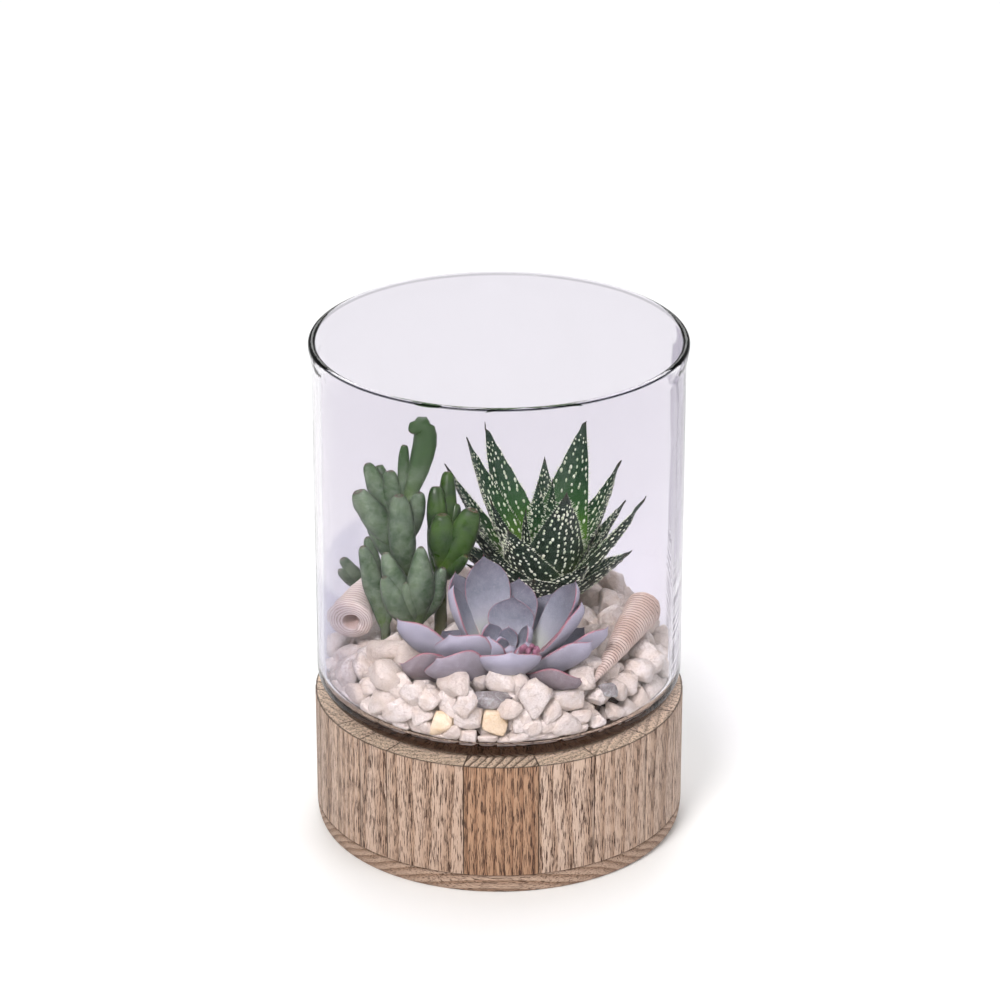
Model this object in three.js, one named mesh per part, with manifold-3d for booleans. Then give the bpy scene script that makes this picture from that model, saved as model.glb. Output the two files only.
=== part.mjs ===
// A planted glass terrarium: a straight glass jar on a round base of glued wooden staves. It is filled
// with soil and white marble chips, and planted with an echeveria, a lace aloe and finger jade, with two
// sea shells laid on top. Millimetres, +Z up. The origin is the centre of the base's underside, and the
// front faces -Y.

import * as THREE from 'three';
import { mergeVertices } from 'three/addons/utils/BufferGeometryUtils.js';
import Module from 'manifold-3d';

const wasm = await Module();
wasm.setup();

// ---- Driving dimensions -------------------------------------------------------------------------

const WOOD_RADIUS = 76;
const WOOD_TOP = 57;
const BOARD_TOP = 8.3;
const BOARD_FOOT_RADIUS = 73.7;
const STAVE_THICKNESS = 18;
// Joint lines between the staves, in degrees round the ring from the front, plus towards the right.
const FRONT_JOINTS = [-91, -85.7, -60, -47.9, -36.6, -10.8, 12.1, 30.3, 51.7, 70, 90];
const DARK_STAVE = 5;
const BACK_STAVES = 8;
const STAVE_STEP_DEGREES = 7;

const GLASS_RADIUS = 75;
const GLASS_WALL = 3;
const GLASS_FLOOR = 5;
const GLASS_CORNER = 12;
const RIM_TOP = 210.8;
const RIM_FLARE = 1.2;
const RIM_HEIGHT = 4;

const SOIL_RADIUS = 60;
const HOLE_BOTTOM = 68;
const SOIL_TOP = 74;
const BED_CORE_RADIUS = 66;
const BED_CORE_TOP = 76.5;
const BED_LEVEL = 79.6;
const BED_CHIP_RADIUS = 65.5;
const WALL_CHIP_RADIUS = 66.5;
const WALL_ROWS = [67, 74];
const WALL_CHIPS = 25;
const CHIP_SPACING = 15.4;
const CHIP_SIZE = 6.8;
const CHIP_SMALLEST = 0.72;
const CHIP_SPREAD = 0.42;
const CHIP_WOBBLE = 2.4;
const CHIP_CLOSENESS = 0.62;
const CHIP_BLOCK = 1.5;
// Degrees from one chip to the next in a sunflower pattern.
const SUNFLOWER_TURN = 137.508;
const PEBBLE_SEED = 4127;

// Clearance between pieces that lie against each other.
const GAP = 0.3;
// How far beyond a leaf's outline the chips under it stay low.
const LEAF_MARGIN = 1.5;
const FLOOR_Z = WOOD_TOP + GLASS_FLOOR;
const INSIDE_RADIUS = GLASS_RADIUS - GLASS_WALL;
const INSIDE_CORNER = GLASS_CORNER - GLASS_WALL;
const ROUND_STEPS = 44;
const POST_SIDES = 12;
const BED_SIDES = 24;

// ---- Materials ----------------------------------------------------------------------------------

const material = (color, roughness) =>
  new THREE.MeshStandardMaterial({ color, roughness, metalness: 0 });

const FINISH = {
  paleWood: material(0xcdb096, 0.7),
  darkWood: material(0xb08a64, 0.7),
  boardWood: material(0xc4a688, 0.7),
  glass: material(0xe6e2ee, 0.05),
  soil: material(0x3a2c22, 0.95),
  whiteChip: material(0xece6de, 0.75),
  yellowChip: material(0xe6d8a8, 0.75),
  slate: material(0x74716c, 0.7),
  shellCream: material(0xd8c3ac, 0.5),
  shellPink: material(0xcfae9c, 0.5),
  echeveria: material(0x9a95ab, 0.6),
  aloe: material(0x2f5a3a, 0.5),
  jadeGrey: material(0x5d7d5c, 0.45),
  jadeBright: material(0x4a8a22, 0.4),
};

// ---- Solids and meshes --------------------------------------------------------------------------

const MERGE = 1e-4;

function signedVolume(points, triangles) {
  const corner = (n) => new THREE.Vector3().fromArray(points, 3 * n);
  let volume = 0;
  for (let i = 0; i < triangles.length; i += 3) {
    const [a, b, c] = [0, 1, 2].map((n) => corner(triangles[i + n]));
    volume += a.dot(b.cross(c)) / 6;
  }
  return volume;
}

// Turns a closed geometry into a solid, with its shared vertices merged and its faces pointing out.
function solidOf(geometry) {
  const bare = geometry.clone();
  bare.deleteAttribute('normal');
  bare.deleteAttribute('uv');
  const merged = mergeVertices(bare, MERGE);
  const points = Float32Array.from(merged.attributes.position.array);
  const triangles = [];
  for (let i = 0; i < merged.index.count; i += 3) {
    const [a, b, c] = [0, 1, 2].map((n) => merged.index.getX(i + n));
    if (a !== b && b !== c && c !== a) {
      triangles.push(a, b, c);
    }
  }
  if (signedVolume(points, triangles) < 0) {
    triangles.reverse();
  }
  const mesh = new wasm.Mesh({ numProp: 3, vertProperties: points, triVerts: Uint32Array.from(triangles) });
  return new wasm.Manifold(mesh);
}

const joined = (solids) => solids.reduce((whole, solid) => whole.add(solid));
const cutBy = (solid, tools) => tools.reduce((rest, tool) => rest.subtract(tool), solid);

// Drops the scraps that cutting may leave loose, and keeps the largest body.
function largestBody(solid) {
  const bodies = solid.decompose();
  return bodies.reduce((best, body) => (body.volume() > best.volume() ? body : best));
}

function meshOf(name, finish, solid) {
  const { vertProperties, triVerts } = solid.getMesh();
  const geometry = new THREE.BufferGeometry();
  geometry.setAttribute('position', new THREE.BufferAttribute(vertProperties, 3));
  geometry.setIndex(new THREE.BufferAttribute(triVerts, 1));
  geometry.computeVertexNormals();
  const mesh = new THREE.Mesh(geometry, finish);
  mesh.name = name;
  return mesh;
}

// ---- Shared shapes ------------------------------------------------------------------------------

// A point by its angle round the jar (0 degrees is the front, plus is to the right), radius and height.
function around(degrees, radius, z = 0) {
  const angle = THREE.MathUtils.degToRad(degrees);
  return new THREE.Vector3(radius * Math.sin(angle), -radius * Math.cos(angle), z);
}

// A unit vector by its heading (as above) and its tilt above the horizontal.
function direction(heading, tilt) {
  const rise = THREE.MathUtils.degToRad(tilt);
  return around(heading, Math.cos(rise), Math.sin(rise));
}

// A body of revolution about the vertical axis through (x, y), from [radius, height] points that run upwards.
function turned(profile, steps = ROUND_STEPS, x = 0, y = 0) {
  const geometry = new THREE.LatheGeometry(profile.map(([r, z]) => new THREE.Vector2(r, z)), steps);
  return solidOf(geometry.rotateX(Math.PI / 2).translate(x, y, 0));
}

const post = (x, y, radius, bottom, top) =>
  turned([[0, bottom], [radius, bottom], [radius, top], [0, top]], POST_SIDES, x, y);

// Points of a quarter arc in a profile, from one angle to another, both in degrees.
function arc(centreR, centreZ, radius, from, to, steps) {
  return Array.from({ length: steps + 1 }, (_, n) => {
    const angle = THREE.MathUtils.degToRad(from + ((to - from) * n) / steps);
    return [centreR + radius * Math.cos(angle), centreZ + radius * Math.sin(angle)];
  });
}

// A closed skin over rings with equal numbers of points, with a point before the first and after the last.
function skin(first, rings, last) {
  const sides = rings[0].length;
  const points = [first, ...rings.flat(), last];
  const triangles = [];
  const at = (ring, side) => 1 + ring * sides + (side % sides);
  for (let side = 0; side < sides; side += 1) {
    triangles.push(0, at(0, side + 1), at(0, side));
    triangles.push(points.length - 1, at(rings.length - 1, side), at(rings.length - 1, side + 1));
    for (let ring = 0; ring + 1 < rings.length; ring += 1) {
      const [a, b] = [at(ring, side), at(ring, side + 1)];
      const [c, d] = [at(ring + 1, side), at(ring + 1, side + 1)];
      triangles.push(a, b, d, a, d, c);
    }
  }
  const geometry = new THREE.BufferGeometry();
  geometry.setAttribute('position', new THREE.Float32BufferAttribute(points.flatMap((p) => p.toArray()), 3));
  geometry.setIndex(triangles);
  return solidOf(geometry);
}

// Sweeps a section along a curve. section(t) lists [across, above] pairs; across lies along side.
function swept(curve, side, stations, section, first, last) {
  const rings = stations.map((t) => {
    const centre = curve.getPoint(t);
    const above = curve.getTangent(t).cross(side).normalize();
    return section(t).map(([x, y]) => centre.clone().addScaledVector(side, x).addScaledVector(above, y));
  });
  return skin(first, rings, last);
}

// Seeded random numbers from 0 to 1.
function randomFrom(seed) {
  let state = seed >>> 0;
  return () => {
    state = (state + 0x6d2b79f5) >>> 0;
    let mixed = Math.imul(state ^ (state >>> 15), state | 1);
    mixed ^= mixed + Math.imul(mixed ^ (mixed >>> 7), mixed | 61);
    return ((mixed ^ (mixed >>> 14)) >>> 0) / 4294967296;
  };
}

// ---- Wooden base --------------------------------------------------------------------------------

function baseBoard() {
  const inset = WOOD_RADIUS - BOARD_FOOT_RADIUS;
  const edge = Array.from({ length: 4 }, (_, n) => {
    const angle = (Math.PI / 2) * (n / 3);
    return [BOARD_FOOT_RADIUS + inset * Math.sin(angle), BOARD_TOP * (1 - Math.cos(angle))];
  });
  return turned([[0, 0], ...edge, [0, BOARD_TOP]]);
}

// One stave: an upright block with a curved front and back, between two joint lines.
function stave(from, to) {
  const steps = Math.max(1, Math.round((to - from) / STAVE_STEP_DEGREES));
  const angles = Array.from({ length: steps + 1 }, (_, n) => from + ((to - from) * n) / steps);
  const outer = angles.map((angle) => around(angle, WOOD_RADIUS));
  const inner = angles.map((angle) => around(angle, WOOD_RADIUS - STAVE_THICKNESS)).reverse();
  const outline = new THREE.Shape([...outer, ...inner].map((p) => new THREE.Vector2(p.x, p.y)));
  const block = new THREE.ExtrudeGeometry(outline, { depth: WOOD_TOP - BOARD_TOP, bevelEnabled: false });
  return solidOf(block.translate(0, 0, BOARD_TOP));
}

// ---- Glass jar ----------------------------------------------------------------------------------

function glassJar() {
  const cornerR = GLASS_RADIUS - GLASS_CORNER;
  const cornerZ = WOOD_TOP + GLASS_CORNER;
  const lip = GLASS_WALL / 2;
  const rimZ = RIM_TOP - lip;
  const rimR = GLASS_RADIUS + RIM_FLARE - lip;
  const outside = [
    [0, WOOD_TOP],
    ...arc(cornerR, cornerZ, GLASS_CORNER, -90, 0, 3),
    [GLASS_RADIUS, RIM_TOP - RIM_HEIGHT - lip],
    ...arc(rimR, rimZ, lip, 0, 180, 4),
    [INSIDE_RADIUS, RIM_TOP - RIM_HEIGHT - lip],
    ...arc(cornerR, FLOOR_Z + INSIDE_CORNER, INSIDE_CORNER, 0, -90, 3),
    [0, FLOOR_Z],
  ];
  return turned(outside);
}

// ---- Leaves -------------------------------------------------------------------------------------

// A rosette leaf's midrib, seen from the rosette's centre. Steeper leaves spring from higher up the stem.
// The rib leaves the stem lower than its tilt and curls up to it.
function midrib({ x, y, rootZ, rootRise }, { heading, tilt, length, curl, foot }) {
  const centre = new THREE.Vector3(x, y, rootZ);
  const rise = new THREE.Vector3(0, 0, (rootRise * tilt) / 90);
  const reach = (angle, distance) => centre.clone().addScaledVector(direction(heading, angle), distance);
  const root = reach(0, foot).add(rise);
  const middle = reach(tilt - curl, length / 2).addScaledVector(rise, 0.5);
  return new THREE.QuadraticBezierCurve3(root, middle, reach(tilt, length));
}

// A cupped blade's section: the edges lift above the middle, and the underside is fuller than the top.
function bladeSection(halfWidth, thickness, cup, sides) {
  return Array.from({ length: sides }, (_, n) => {
    const angle = (2 * Math.PI * n) / sides;
    const depth = Math.sin(angle) > 0 ? 0.3 * thickness : 0.7 * thickness;
    return [halfWidth * Math.cos(angle), depth * Math.sin(angle) + cup * halfWidth * Math.cos(angle) ** 2];
  });
}

// ---- Echeveria ----------------------------------------------------------------------------------

const ECHEVERIA = { x: 2, y: -42, neck: 6, rootZ: 80.5, rootRise: 5 };
const ECHEVERIA_THICKNESS = 3.4;
const ECHEVERIA_CUP = 0.3;
const ECHEVERIA_CURL = 22;
const ECHEVERIA_SIDES = 6;
const ECHEVERIA_POINT = 2.2;
const ECHEVERIA_STATIONS = [0, 0.38, 0.68, 0.9, 0.986];
// Leaves from the outside in: heading, tilt, length, width, roll about the leaf's own line.
const ECHEVERIA_LEAVES = [
  [-78, 12, 43, 22, 52],
  [56, 13, 37, 19, -42],
  [120, 18, 40, 19, 0],
  [-128, 18, 34, 18, 0],
  [165, 20, 42, 19, 0],
  [-168, 26, 42, 19, 0],
  [93, 26, 47, 18, -34],
  [-90, 30, 50, 21, 46],
  [76, 28, 41, 18, -44],
  [-50, 27, 39, 27, 40],
  [140, 38, 42, 18, 0],
  [-148, 42, 43, 18, 0],
  [7, 42, 31, 26, 0],
  [109, 50, 49, 20, 0],
  [-132, 54, 47, 17, 0],
  [-57, 43, 36, 26, 34],
  [164, 55, 41, 19, 0],
  [90, 46, 46, 19, -14],
  [-159, 61, 50, 19, 0],
  [-105, 60, 44, 17, 10],
  [50, 58, 23, 10, 0],
  [164, 64, 33, 19, 0],
  [-32, 62, 26, 13, 0],
  [-138, 66, 23, 11, 0],
  [110, 64, 24, 10, 0],
  [161, 73, 21, 8, 0],
];

// Share of the full half width at t along the leaf: a narrow foot, a broad upper half and a rounded end.
const spoonOutline = (t) => (1 - 0.58 * (1 - t) ** 1.8) * (1 - t ** 8) ** 0.5;

// Leaves curl up towards their points, and the lowest ones, which lie on the pebbles, curl less.
const echeveriaCurl = (tilt) => Math.min(ECHEVERIA_CURL, 0.75 * tilt);

function echeveriaLeaf([heading, tilt, length, width, roll]) {
  const foot = 1 + 0.03 * (90 - tilt);
  const curl = echeveriaCurl(tilt);
  const curve = midrib(ECHEVERIA, { heading, tilt, length: length - ECHEVERIA_POINT, curl, foot });
  const side = direction(heading + 90, 0);
  side.applyAxisAngle(direction(heading, tilt), THREE.MathUtils.degToRad(roll));
  const section = (t) => {
    const share = spoonOutline(t);
    const thickness = ECHEVERIA_THICKNESS * (0.45 + 0.55 * share);
    return bladeSection((width / 2) * share, thickness, ECHEVERIA_CUP, ECHEVERIA_SIDES);
  };
  const end = curve.getPoint(0).addScaledVector(curve.getTangent(0), -0.8);
  const point = curve.getPoint(1).addScaledVector(curve.getTangent(1), ECHEVERIA_POINT);
  point.z += 0.25 * width * ECHEVERIA_CUP;
  return swept(curve, side, ECHEVERIA_STATIONS, section, end, point);
}

function echeveria() {
  const { x, y, neck, rootZ } = ECHEVERIA;
  const stem = turned([
    [0, HOLE_BOTTOM], [neck, HOLE_BOTTOM], [neck, rootZ - 1], [neck - 1, rootZ + 8], [0, rootZ + 11],
  ], POST_SIDES, x, y);
  return joined([stem, ...ECHEVERIA_LEAVES.map(echeveriaLeaf)]);
}

// ---- Lace aloe ----------------------------------------------------------------------------------

const ALOE = { x: 19, y: 20, neck: 8, rootZ: 86, rootRise: 13 };
const ALOE_THICKNESS = 3.6;
const ALOE_CUP = 0.35;
const ALOE_TOOTH = 0.8;
const ALOE_TEETH = 4;
const ALOE_CURL = 12;
// Leaves from the outside in: heading, tilt, length, width.
const ALOE_LEAVES = [
  [178, 30, 42, 19],
  [132, 34, 46, 19],
  [-135, 35, 46, 19],
  [100, 28, 42, 19],
  [75, 36, 43, 24],
  [-10, 38, 36, 26],
  [-50, 44, 44, 24],
  [35, 42, 40, 24],
  [160, 46, 52, 18],
  [-82, 38, 52, 24],
  [-75, 50, 56, 22],
  [-105, 53, 71, 15],
  [70, 51, 69, 17],
  [95, 53, 55, 16],
  [110, 60, 67, 21],
  [-28, 54, 56, 26],
  [180, 60, 60, 18],
  [-115, 62, 76, 20],
  [20, 67, 64, 29],
  [-60, 63, 57, 18],
  [-140, 60, 78, 24],
  [150, 64, 78, 27],
];

// Share of the full half width at t along the leaf: broadest low down, then an even taper to a point.
const lanceOutline = (t) => (1 - t) * (0.92 + 1.75 * t - 0.9 * t ** 2);

// Stations in pairs, a notch and then the tooth that points along the leaf.
const ALOE_STATIONS = Array.from({ length: ALOE_TEETH }, (_, n) => [
  { t: 0.05 + (0.85 * n) / ALOE_TEETH, tooth: 0 },
  { t: 0.05 + (0.85 * (n + 0.72)) / ALOE_TEETH, tooth: 1 },
]).flat();

function aloeLeaf([heading, tilt, length, width]) {
  const curve = midrib(ALOE, { heading, tilt, length, curl: ALOE_CURL, foot: 4 + 0.12 * (90 - tilt) });
  const side = direction(heading + 90, 0);
  const rings = new Map(ALOE_STATIONS.map(({ t, tooth }) => [t, tooth]));
  const section = (t) => {
    const halfWidth = (width / 2) * lanceOutline(t);
    const thickness = 0.9 + ALOE_THICKNESS * (halfWidth / (width / 2));
    const reach = halfWidth + rings.get(t) * ALOE_TOOTH * Math.min(1, 0.3 + halfWidth / 4);
    const lift = ALOE_CUP * halfWidth;
    return [[reach, lift], [0, 0.3 * thickness], [-reach, lift], [0, -0.7 * thickness]];
  };
  const foot = curve.getPoint(0).addScaledVector(curve.getTangent(0), -1);
  return swept(curve, side, [...rings.keys()], section, foot, curve.getPoint(1));
}

function laceAloe() {
  const { x, y, neck, rootZ } = ALOE;
  const stem = turned([
    [0, HOLE_BOTTOM], [neck, HOLE_BOTTOM], [neck, rootZ + 10], [neck - 1, rootZ + 18], [0, rootZ + 26],
  ], POST_SIDES, x, y);
  return joined([stem, ...ALOE_LEAVES.map(aloeLeaf)]);
}

// ---- Finger jade --------------------------------------------------------------------------------

// Each stem is a path of points with a radius. Each leaf runs from its foot on the stem to its tip, bowed
// sideways by bend, with its full width. A hooked leaf gives the points that it runs through instead.
const JADE_STEMS = {
  finger_jade_tall: {
    finish: 'jadeGrey',
    radius: 3,
    path: [[-38, 2, 68], [-38.5, 2, 100], [-39, 4, 122], [-38, 5, 137]],
    leaves: [
      {
        through: [[-38, 4.5, 133], [-33.6, 5, 150], [-30.4, 6, 164], [-31.2, 6, 172], [-36, 4.5, 170]],
        width: 9,
        stations: [0, 0.25, 0.5, 0.68, 0.8, 0.92, 1],
      },
      { foot: [-38, 5, 134], tip: [-38.5, 8, 161], width: 5, bend: [-1, 1, 0] },
      { foot: [-39, 4.5, 122], tip: [-54, 10, 152], width: 8, bend: [-2, 0, 0] },
      { foot: [-39, 5, 124], tip: [-49.5, 14, 149.5], width: 7, bend: [-1, 2, 0] },
      { foot: [-39, 4.5, 120], tip: [-44.3, 7, 150], width: 8.5, bend: [-2, 0, 0] },
      { foot: [-39, 3.5, 116], tip: [-57.5, 0, 144], width: 11, bend: [-2, -1, 0] },
      { foot: [-38.5, 2.5, 104], tip: [-40.5, -4, 144], width: 10.5, bend: [0, -3, 0] },
      { foot: [-39, 4, 118], tip: [-33, 4, 142], width: 8.5, bend: [2, 0, 0] },
      { foot: [-38.5, 3, 108], tip: [-52, 3, 131], width: 9, bend: [-2, 1, 0] },
      { foot: [-38.5, 3, 106], tip: [-44, 16, 132], width: 9, bend: [0, 3, 0] },
    ],
  },
  finger_jade_bright: {
    finish: 'jadeBright',
    radius: 2.8,
    path: [[-24, -3, 68], [-24, -3, 100], [-23, -3, 122]],
    leaves: [
      { foot: [-23.5, -3, 112], tip: [-23.1, -5, 136], width: 11, bend: [0, -1, 0] },
      { foot: [-23.5, -3, 110], tip: [-10.5, -5, 138], width: 12, bend: [2, 0, -1] },
      { foot: [-24, -3, 106], tip: [-13.4, -8, 119], width: 5.5, bend: [1, 0, -1] },
      { foot: [-23.5, -3, 116], tip: [-25.5, 5, 144], width: 8.5, bend: [-1, 0, 0] },
      { foot: [-23.5, -3, 115], tip: [-21, 11, 148], width: 8, bend: [1, 2, 0] },
      { foot: [-23.5, -3, 112], tip: [-17.5, 6, 136], width: 6.5, bend: [1, 1, 0] },
      { foot: [-24, -3, 104], tip: [-27, 8, 128], width: 7, bend: [0, 2, 0] },
    ],
  },
  finger_jade_front: {
    finish: 'jadeGrey',
    radius: 3,
    path: [[-34, -11, 68], [-33.5, -11, 84], [-33, -10.5, 98]],
    leaves: [
      { foot: [-33.5, -11, 92], tip: [-46, -13, 122.5], width: 9.5, bend: [-2, -1, 0] },
      { foot: [-33.5, -11, 90], tip: [-31.5, -15, 126], width: 10.5, bend: [1, -2, 0] },
      { foot: [-33.5, -11, 88], tip: [-46.5, -17, 113.5], width: 9.5, bend: [-2, -1, 0] },
      { foot: [-33.5, -11, 90], tip: [-38, -17, 111], width: 7, bend: [0, -1, 0] },
      { foot: [-33, -11, 91], tip: [-22.5, -11, 115], width: 9, bend: [1, 0, -1] },
    ],
  },
  finger_jade_left: {
    finish: 'jadeGrey',
    radius: 2.6,
    path: [[-46.5, -6, 68], [-46.5, -6, 84], [-47, -6, 92]],
    leaves: [
      { foot: [-47, -6, 86], tip: [-55.5, -6.5, 122.5], width: 8.5, bend: [1.5, 0, 0] },
      { foot: [-46.5, -5, 87], tip: [-54, 6, 121], width: 7.5, bend: [0, 1, 0] },
      { foot: [-46.5, -6, 86], tip: [-43, -5, 105], width: 6, bend: [0, 0, 0] },
    ],
  },
  finger_jade_sprig: {
    finish: 'jadeGrey',
    radius: 1.9,
    path: [[-51, 26, 68], [-51, 26, 76], [-51.5, 25.8, 85], [-56, 22, 92]],
    leaves: [
      { foot: [-55.5, 22, 91], tip: [-65, 14.5, 107.5], width: 6.5, bend: [-1, 0, 0] },
      { foot: [-55.5, 22, 90], tip: [-66.5, 14, 102.5], width: 6, bend: [-1, 1, -1] },
    ],
  },
};
const JADE_SIDES = 6;

// Share of the full radius at t along a finger leaf: slim foot, full middle, rounded in at the end.
const fingerOutline = (t) => 0.5 + 0.5 * Math.sin((Math.PI * t) / 1.15) - 0.38 * t ** 16;
const FINGER_STATIONS = [0, 0.28, 0.6, 0.88, 1];

function roundSection(halfWidth, halfDepth, sides) {
  return Array.from({ length: sides }, (_, n) => {
    const angle = (2 * Math.PI * n) / sides;
    return [halfWidth * Math.cos(angle), halfDepth * Math.sin(angle)];
  });
}

function leafCurve({ foot, tip, bend, through }) {
  if (through) {
    return new THREE.CatmullRomCurve3(through.map((p) => new THREE.Vector3(...p)));
  }
  const [start, end] = [new THREE.Vector3(...foot), new THREE.Vector3(...tip)];
  const middle = start.clone().lerp(end, 0.5).add(new THREE.Vector3(...bend));
  return new THREE.QuadraticBezierCurve3(start, middle, end);
}

function fingerLeaf({ width, stations = FINGER_STATIONS, ...leaf }) {
  const curve = leafCurve(leaf);
  const line = curve.getPoint(1).sub(curve.getPoint(0));
  const side = line.cross(new THREE.Vector3(0, 1, 0)).normalize();
  const section = (t) => {
    const radius = (width / 2) * fingerOutline(t);
    return roundSection(radius, 0.82 * radius, JADE_SIDES);
  };
  const base = curve.getPoint(0).addScaledVector(curve.getTangent(0), -1);
  return swept(curve, side, stations, section, base, curve.getPoint(0.985));
}

function jadeStem({ path, radius, leaves }) {
  const curve = new THREE.CatmullRomCurve3(path.map((p) => new THREE.Vector3(...p)));
  const side = new THREE.Vector3(1, 0, 0);
  const section = (t) => roundSection(radius * (1 - 0.25 * t), radius * (1 - 0.25 * t), JADE_SIDES + 2);
  const top = curve.getPoint(1).add(new THREE.Vector3(0, 0, radius / 2));
  const stations = [0, 0.25, 0.5, 0.75, 1];
  const stem = swept(curve, side, stations, section, curve.getPoint(0), top);
  return joined([stem, ...leaves.map(fingerLeaf)]);
}

// ---- Sea shells ---------------------------------------------------------------------------------

const SHELL_ROWS_PER_WHORL = 2;
const LEFT_SHELL = {
  mouth: [-60, -13, 92.2], apex: [-56.5, 15, 98], radius: 9.7, whorls: 6, rise: 0.1, sides: 14,
};
const RIGHT_SHELL = {
  mouth: [60.5, 3, 91.4], apex: [36, -56.5, 83.6], radius: 8.5, whorls: 11, rise: 0.08, sides: 12,
};

// A spiral shell: a cone from the mouth to the apex whose surface swells between the turns of a helical seam.
function spiralShell(shell, grow = 0) {
  const [start, end] = [new THREE.Vector3(...shell.mouth), new THREE.Vector3(...shell.apex)];
  const axis = end.clone().sub(start).normalize();
  const side = new THREE.Vector3(0, 0, 1).cross(axis).normalize();
  const up = axis.clone().cross(side);
  const rows = shell.whorls * SHELL_ROWS_PER_WHORL;
  const pointAt = (row, n) => {
    const t = row / rows;
    const turn = n / shell.sides;
    const swell = Math.abs(Math.sin(Math.PI * (t * shell.whorls + turn)));
    const radius = shell.radius * (1 - 0.93 * t) * (1 - shell.rise + shell.rise * swell) + grow;
    const angle = 2 * Math.PI * turn;
    const centre = start.clone().lerp(end, t).addScaledVector(side, radius * Math.cos(angle));
    return centre.addScaledVector(up, radius * Math.sin(angle));
  };
  const rings = Array.from({ length: rows + 1 }, (_, row) => (
    Array.from({ length: shell.sides }, (__, n) => pointAt(row, n))
  ));
  if (grow > 0) {
    return skin(start.clone().addScaledVector(axis, -grow), rings, end.clone().addScaledVector(axis, grow));
  }
  // The mouth is a hollow with a lip round it.
  const hollow = (share, depth) => rings[0].map((p) => {
    return start.clone().lerp(p, share).addScaledVector(axis, depth);
  });
  const inside = [hollow(0.5, 5), hollow(0.78, 0.6)];
  return skin(start.clone().addScaledVector(axis, 6), [...inside, ...rings], end);
}

// ---- Stones and pebble bed ----------------------------------------------------------------------

const LOOSE_STONES = {
  dark_stone_long: {
    finish: 'slate', centre: [-4, -63.5, 81.6], size: [12, 4, 3.6], turn: [4, -4, 6], seed: 11,
  },
  dark_stone_small: {
    finish: 'slate', centre: [43, -53, 81], size: [3.6, 3, 2.8], turn: [0, 10, 30], seed: 12,
  },
  yellow_pebble_front: {
    finish: 'yellowChip', centre: [-0.8, -66, 72.6], size: [5.8, 4.6, 5.6], turn: [0, 8, 0], seed: 13,
  },
  yellow_pebble_left: {
    finish: 'yellowChip', centre: [-22.5, -62, 72], size: [5.2, 4.6, 6], turn: [0, -6, -18], seed: 14,
  },
};

// Larger chips chosen by eye: angle round the jar, radius, height, half sizes across, along and up.
const PICKED_CHIPS = [
  [-37, 63, 80, 7.4, 5, 6.6],
  [-18, 64, 80, 5.4, 5, 5.6],
  [-27, 61, 80.5, 3.6, 4, 3],
  [-10, 66, 74, 6, 4.4, 6],
  [6.5, 66, 75, 4.4, 4.4, 5.4],
  [16, 61, 80, 4.6, 4.6, 4.4],
  [3, 54, 79.5, 5.5, 4.5, 3.6],
  [26, 63.5, 78, 8, 5, 5],
  [38, 64, 77, 5, 4.6, 4.6],
  [16, 66, 70.5, 5.6, 4.4, 5.4],
  [28, 66, 71, 5.2, 4.4, 3.6],
  [-30, 65, 67, 4.8, 4.4, 4.4],
  [117, 52, 84, 5, 5, 6.5],
];

// The height under a rosette's leaves at a point, or Infinity where no leaf spreads over it. A rolled
// leaf hangs lower on one side.
function underLeaves({ x, y, rootZ }, leaves, curlOf, thickness, point) {
  const { sin, cos, tan, PI } = Math;
  const offset = new THREE.Vector3(point.x - x, point.y - y, 0);
  const heights = leaves.map(([heading, tilt, length, width, roll = 0]) => {
    const [steep, start, turn] = [tilt, tilt - curlOf(tilt), roll].map((angle) => (angle * PI) / 180);
    const t = offset.dot(direction(heading, 0)) / (length * cos(steep));
    const across = offset.dot(direction(heading + 90, 0));
    if (t < 0 || t > 1 + LEAF_MARGIN / length || Math.abs(across) > (width / 2) * cos(turn) + LEAF_MARGIN) {
      return Infinity;
    }
    const lift = t * (1 - t) * sin(start) + t * t * sin(steep);
    return rootZ + length * lift - thickness - Math.max(0, -across * tan(turn));
  });
  return Math.min(...heights);
}

const ceilingAt = (point) => Math.min(
  underLeaves(ECHEVERIA, ECHEVERIA_LEAVES, echeveriaCurl, ECHEVERIA_THICKNESS, point),
  underLeaves(ALOE, ALOE_LEAVES, () => ALOE_CURL, ALOE_THICKNESS, point),
);

// Keeps a point of a chip inside the glass, off its floor and under a ceiling.
function keepInside(point, ceiling, grow) {
  const cornerR = GLASS_RADIUS - GLASS_CORNER;
  const cornerZ = FLOOR_Z + INSIDE_CORNER;
  point.z = THREE.MathUtils.clamp(point.z, FLOOR_Z + 3 * GAP - grow, ceiling(point));
  const below = Math.max(0, cornerZ - point.z);
  const wall = below > 0 ? cornerR + Math.sqrt(Math.max(0, INSIDE_CORNER ** 2 - below ** 2)) : INSIDE_RADIUS;
  const limit = (wall - 3 * GAP + grow) / Math.hypot(point.x, point.y);
  if (limit < 1) {
    point.x *= limit;
    point.y *= limit;
  }
  return point;
}

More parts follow.
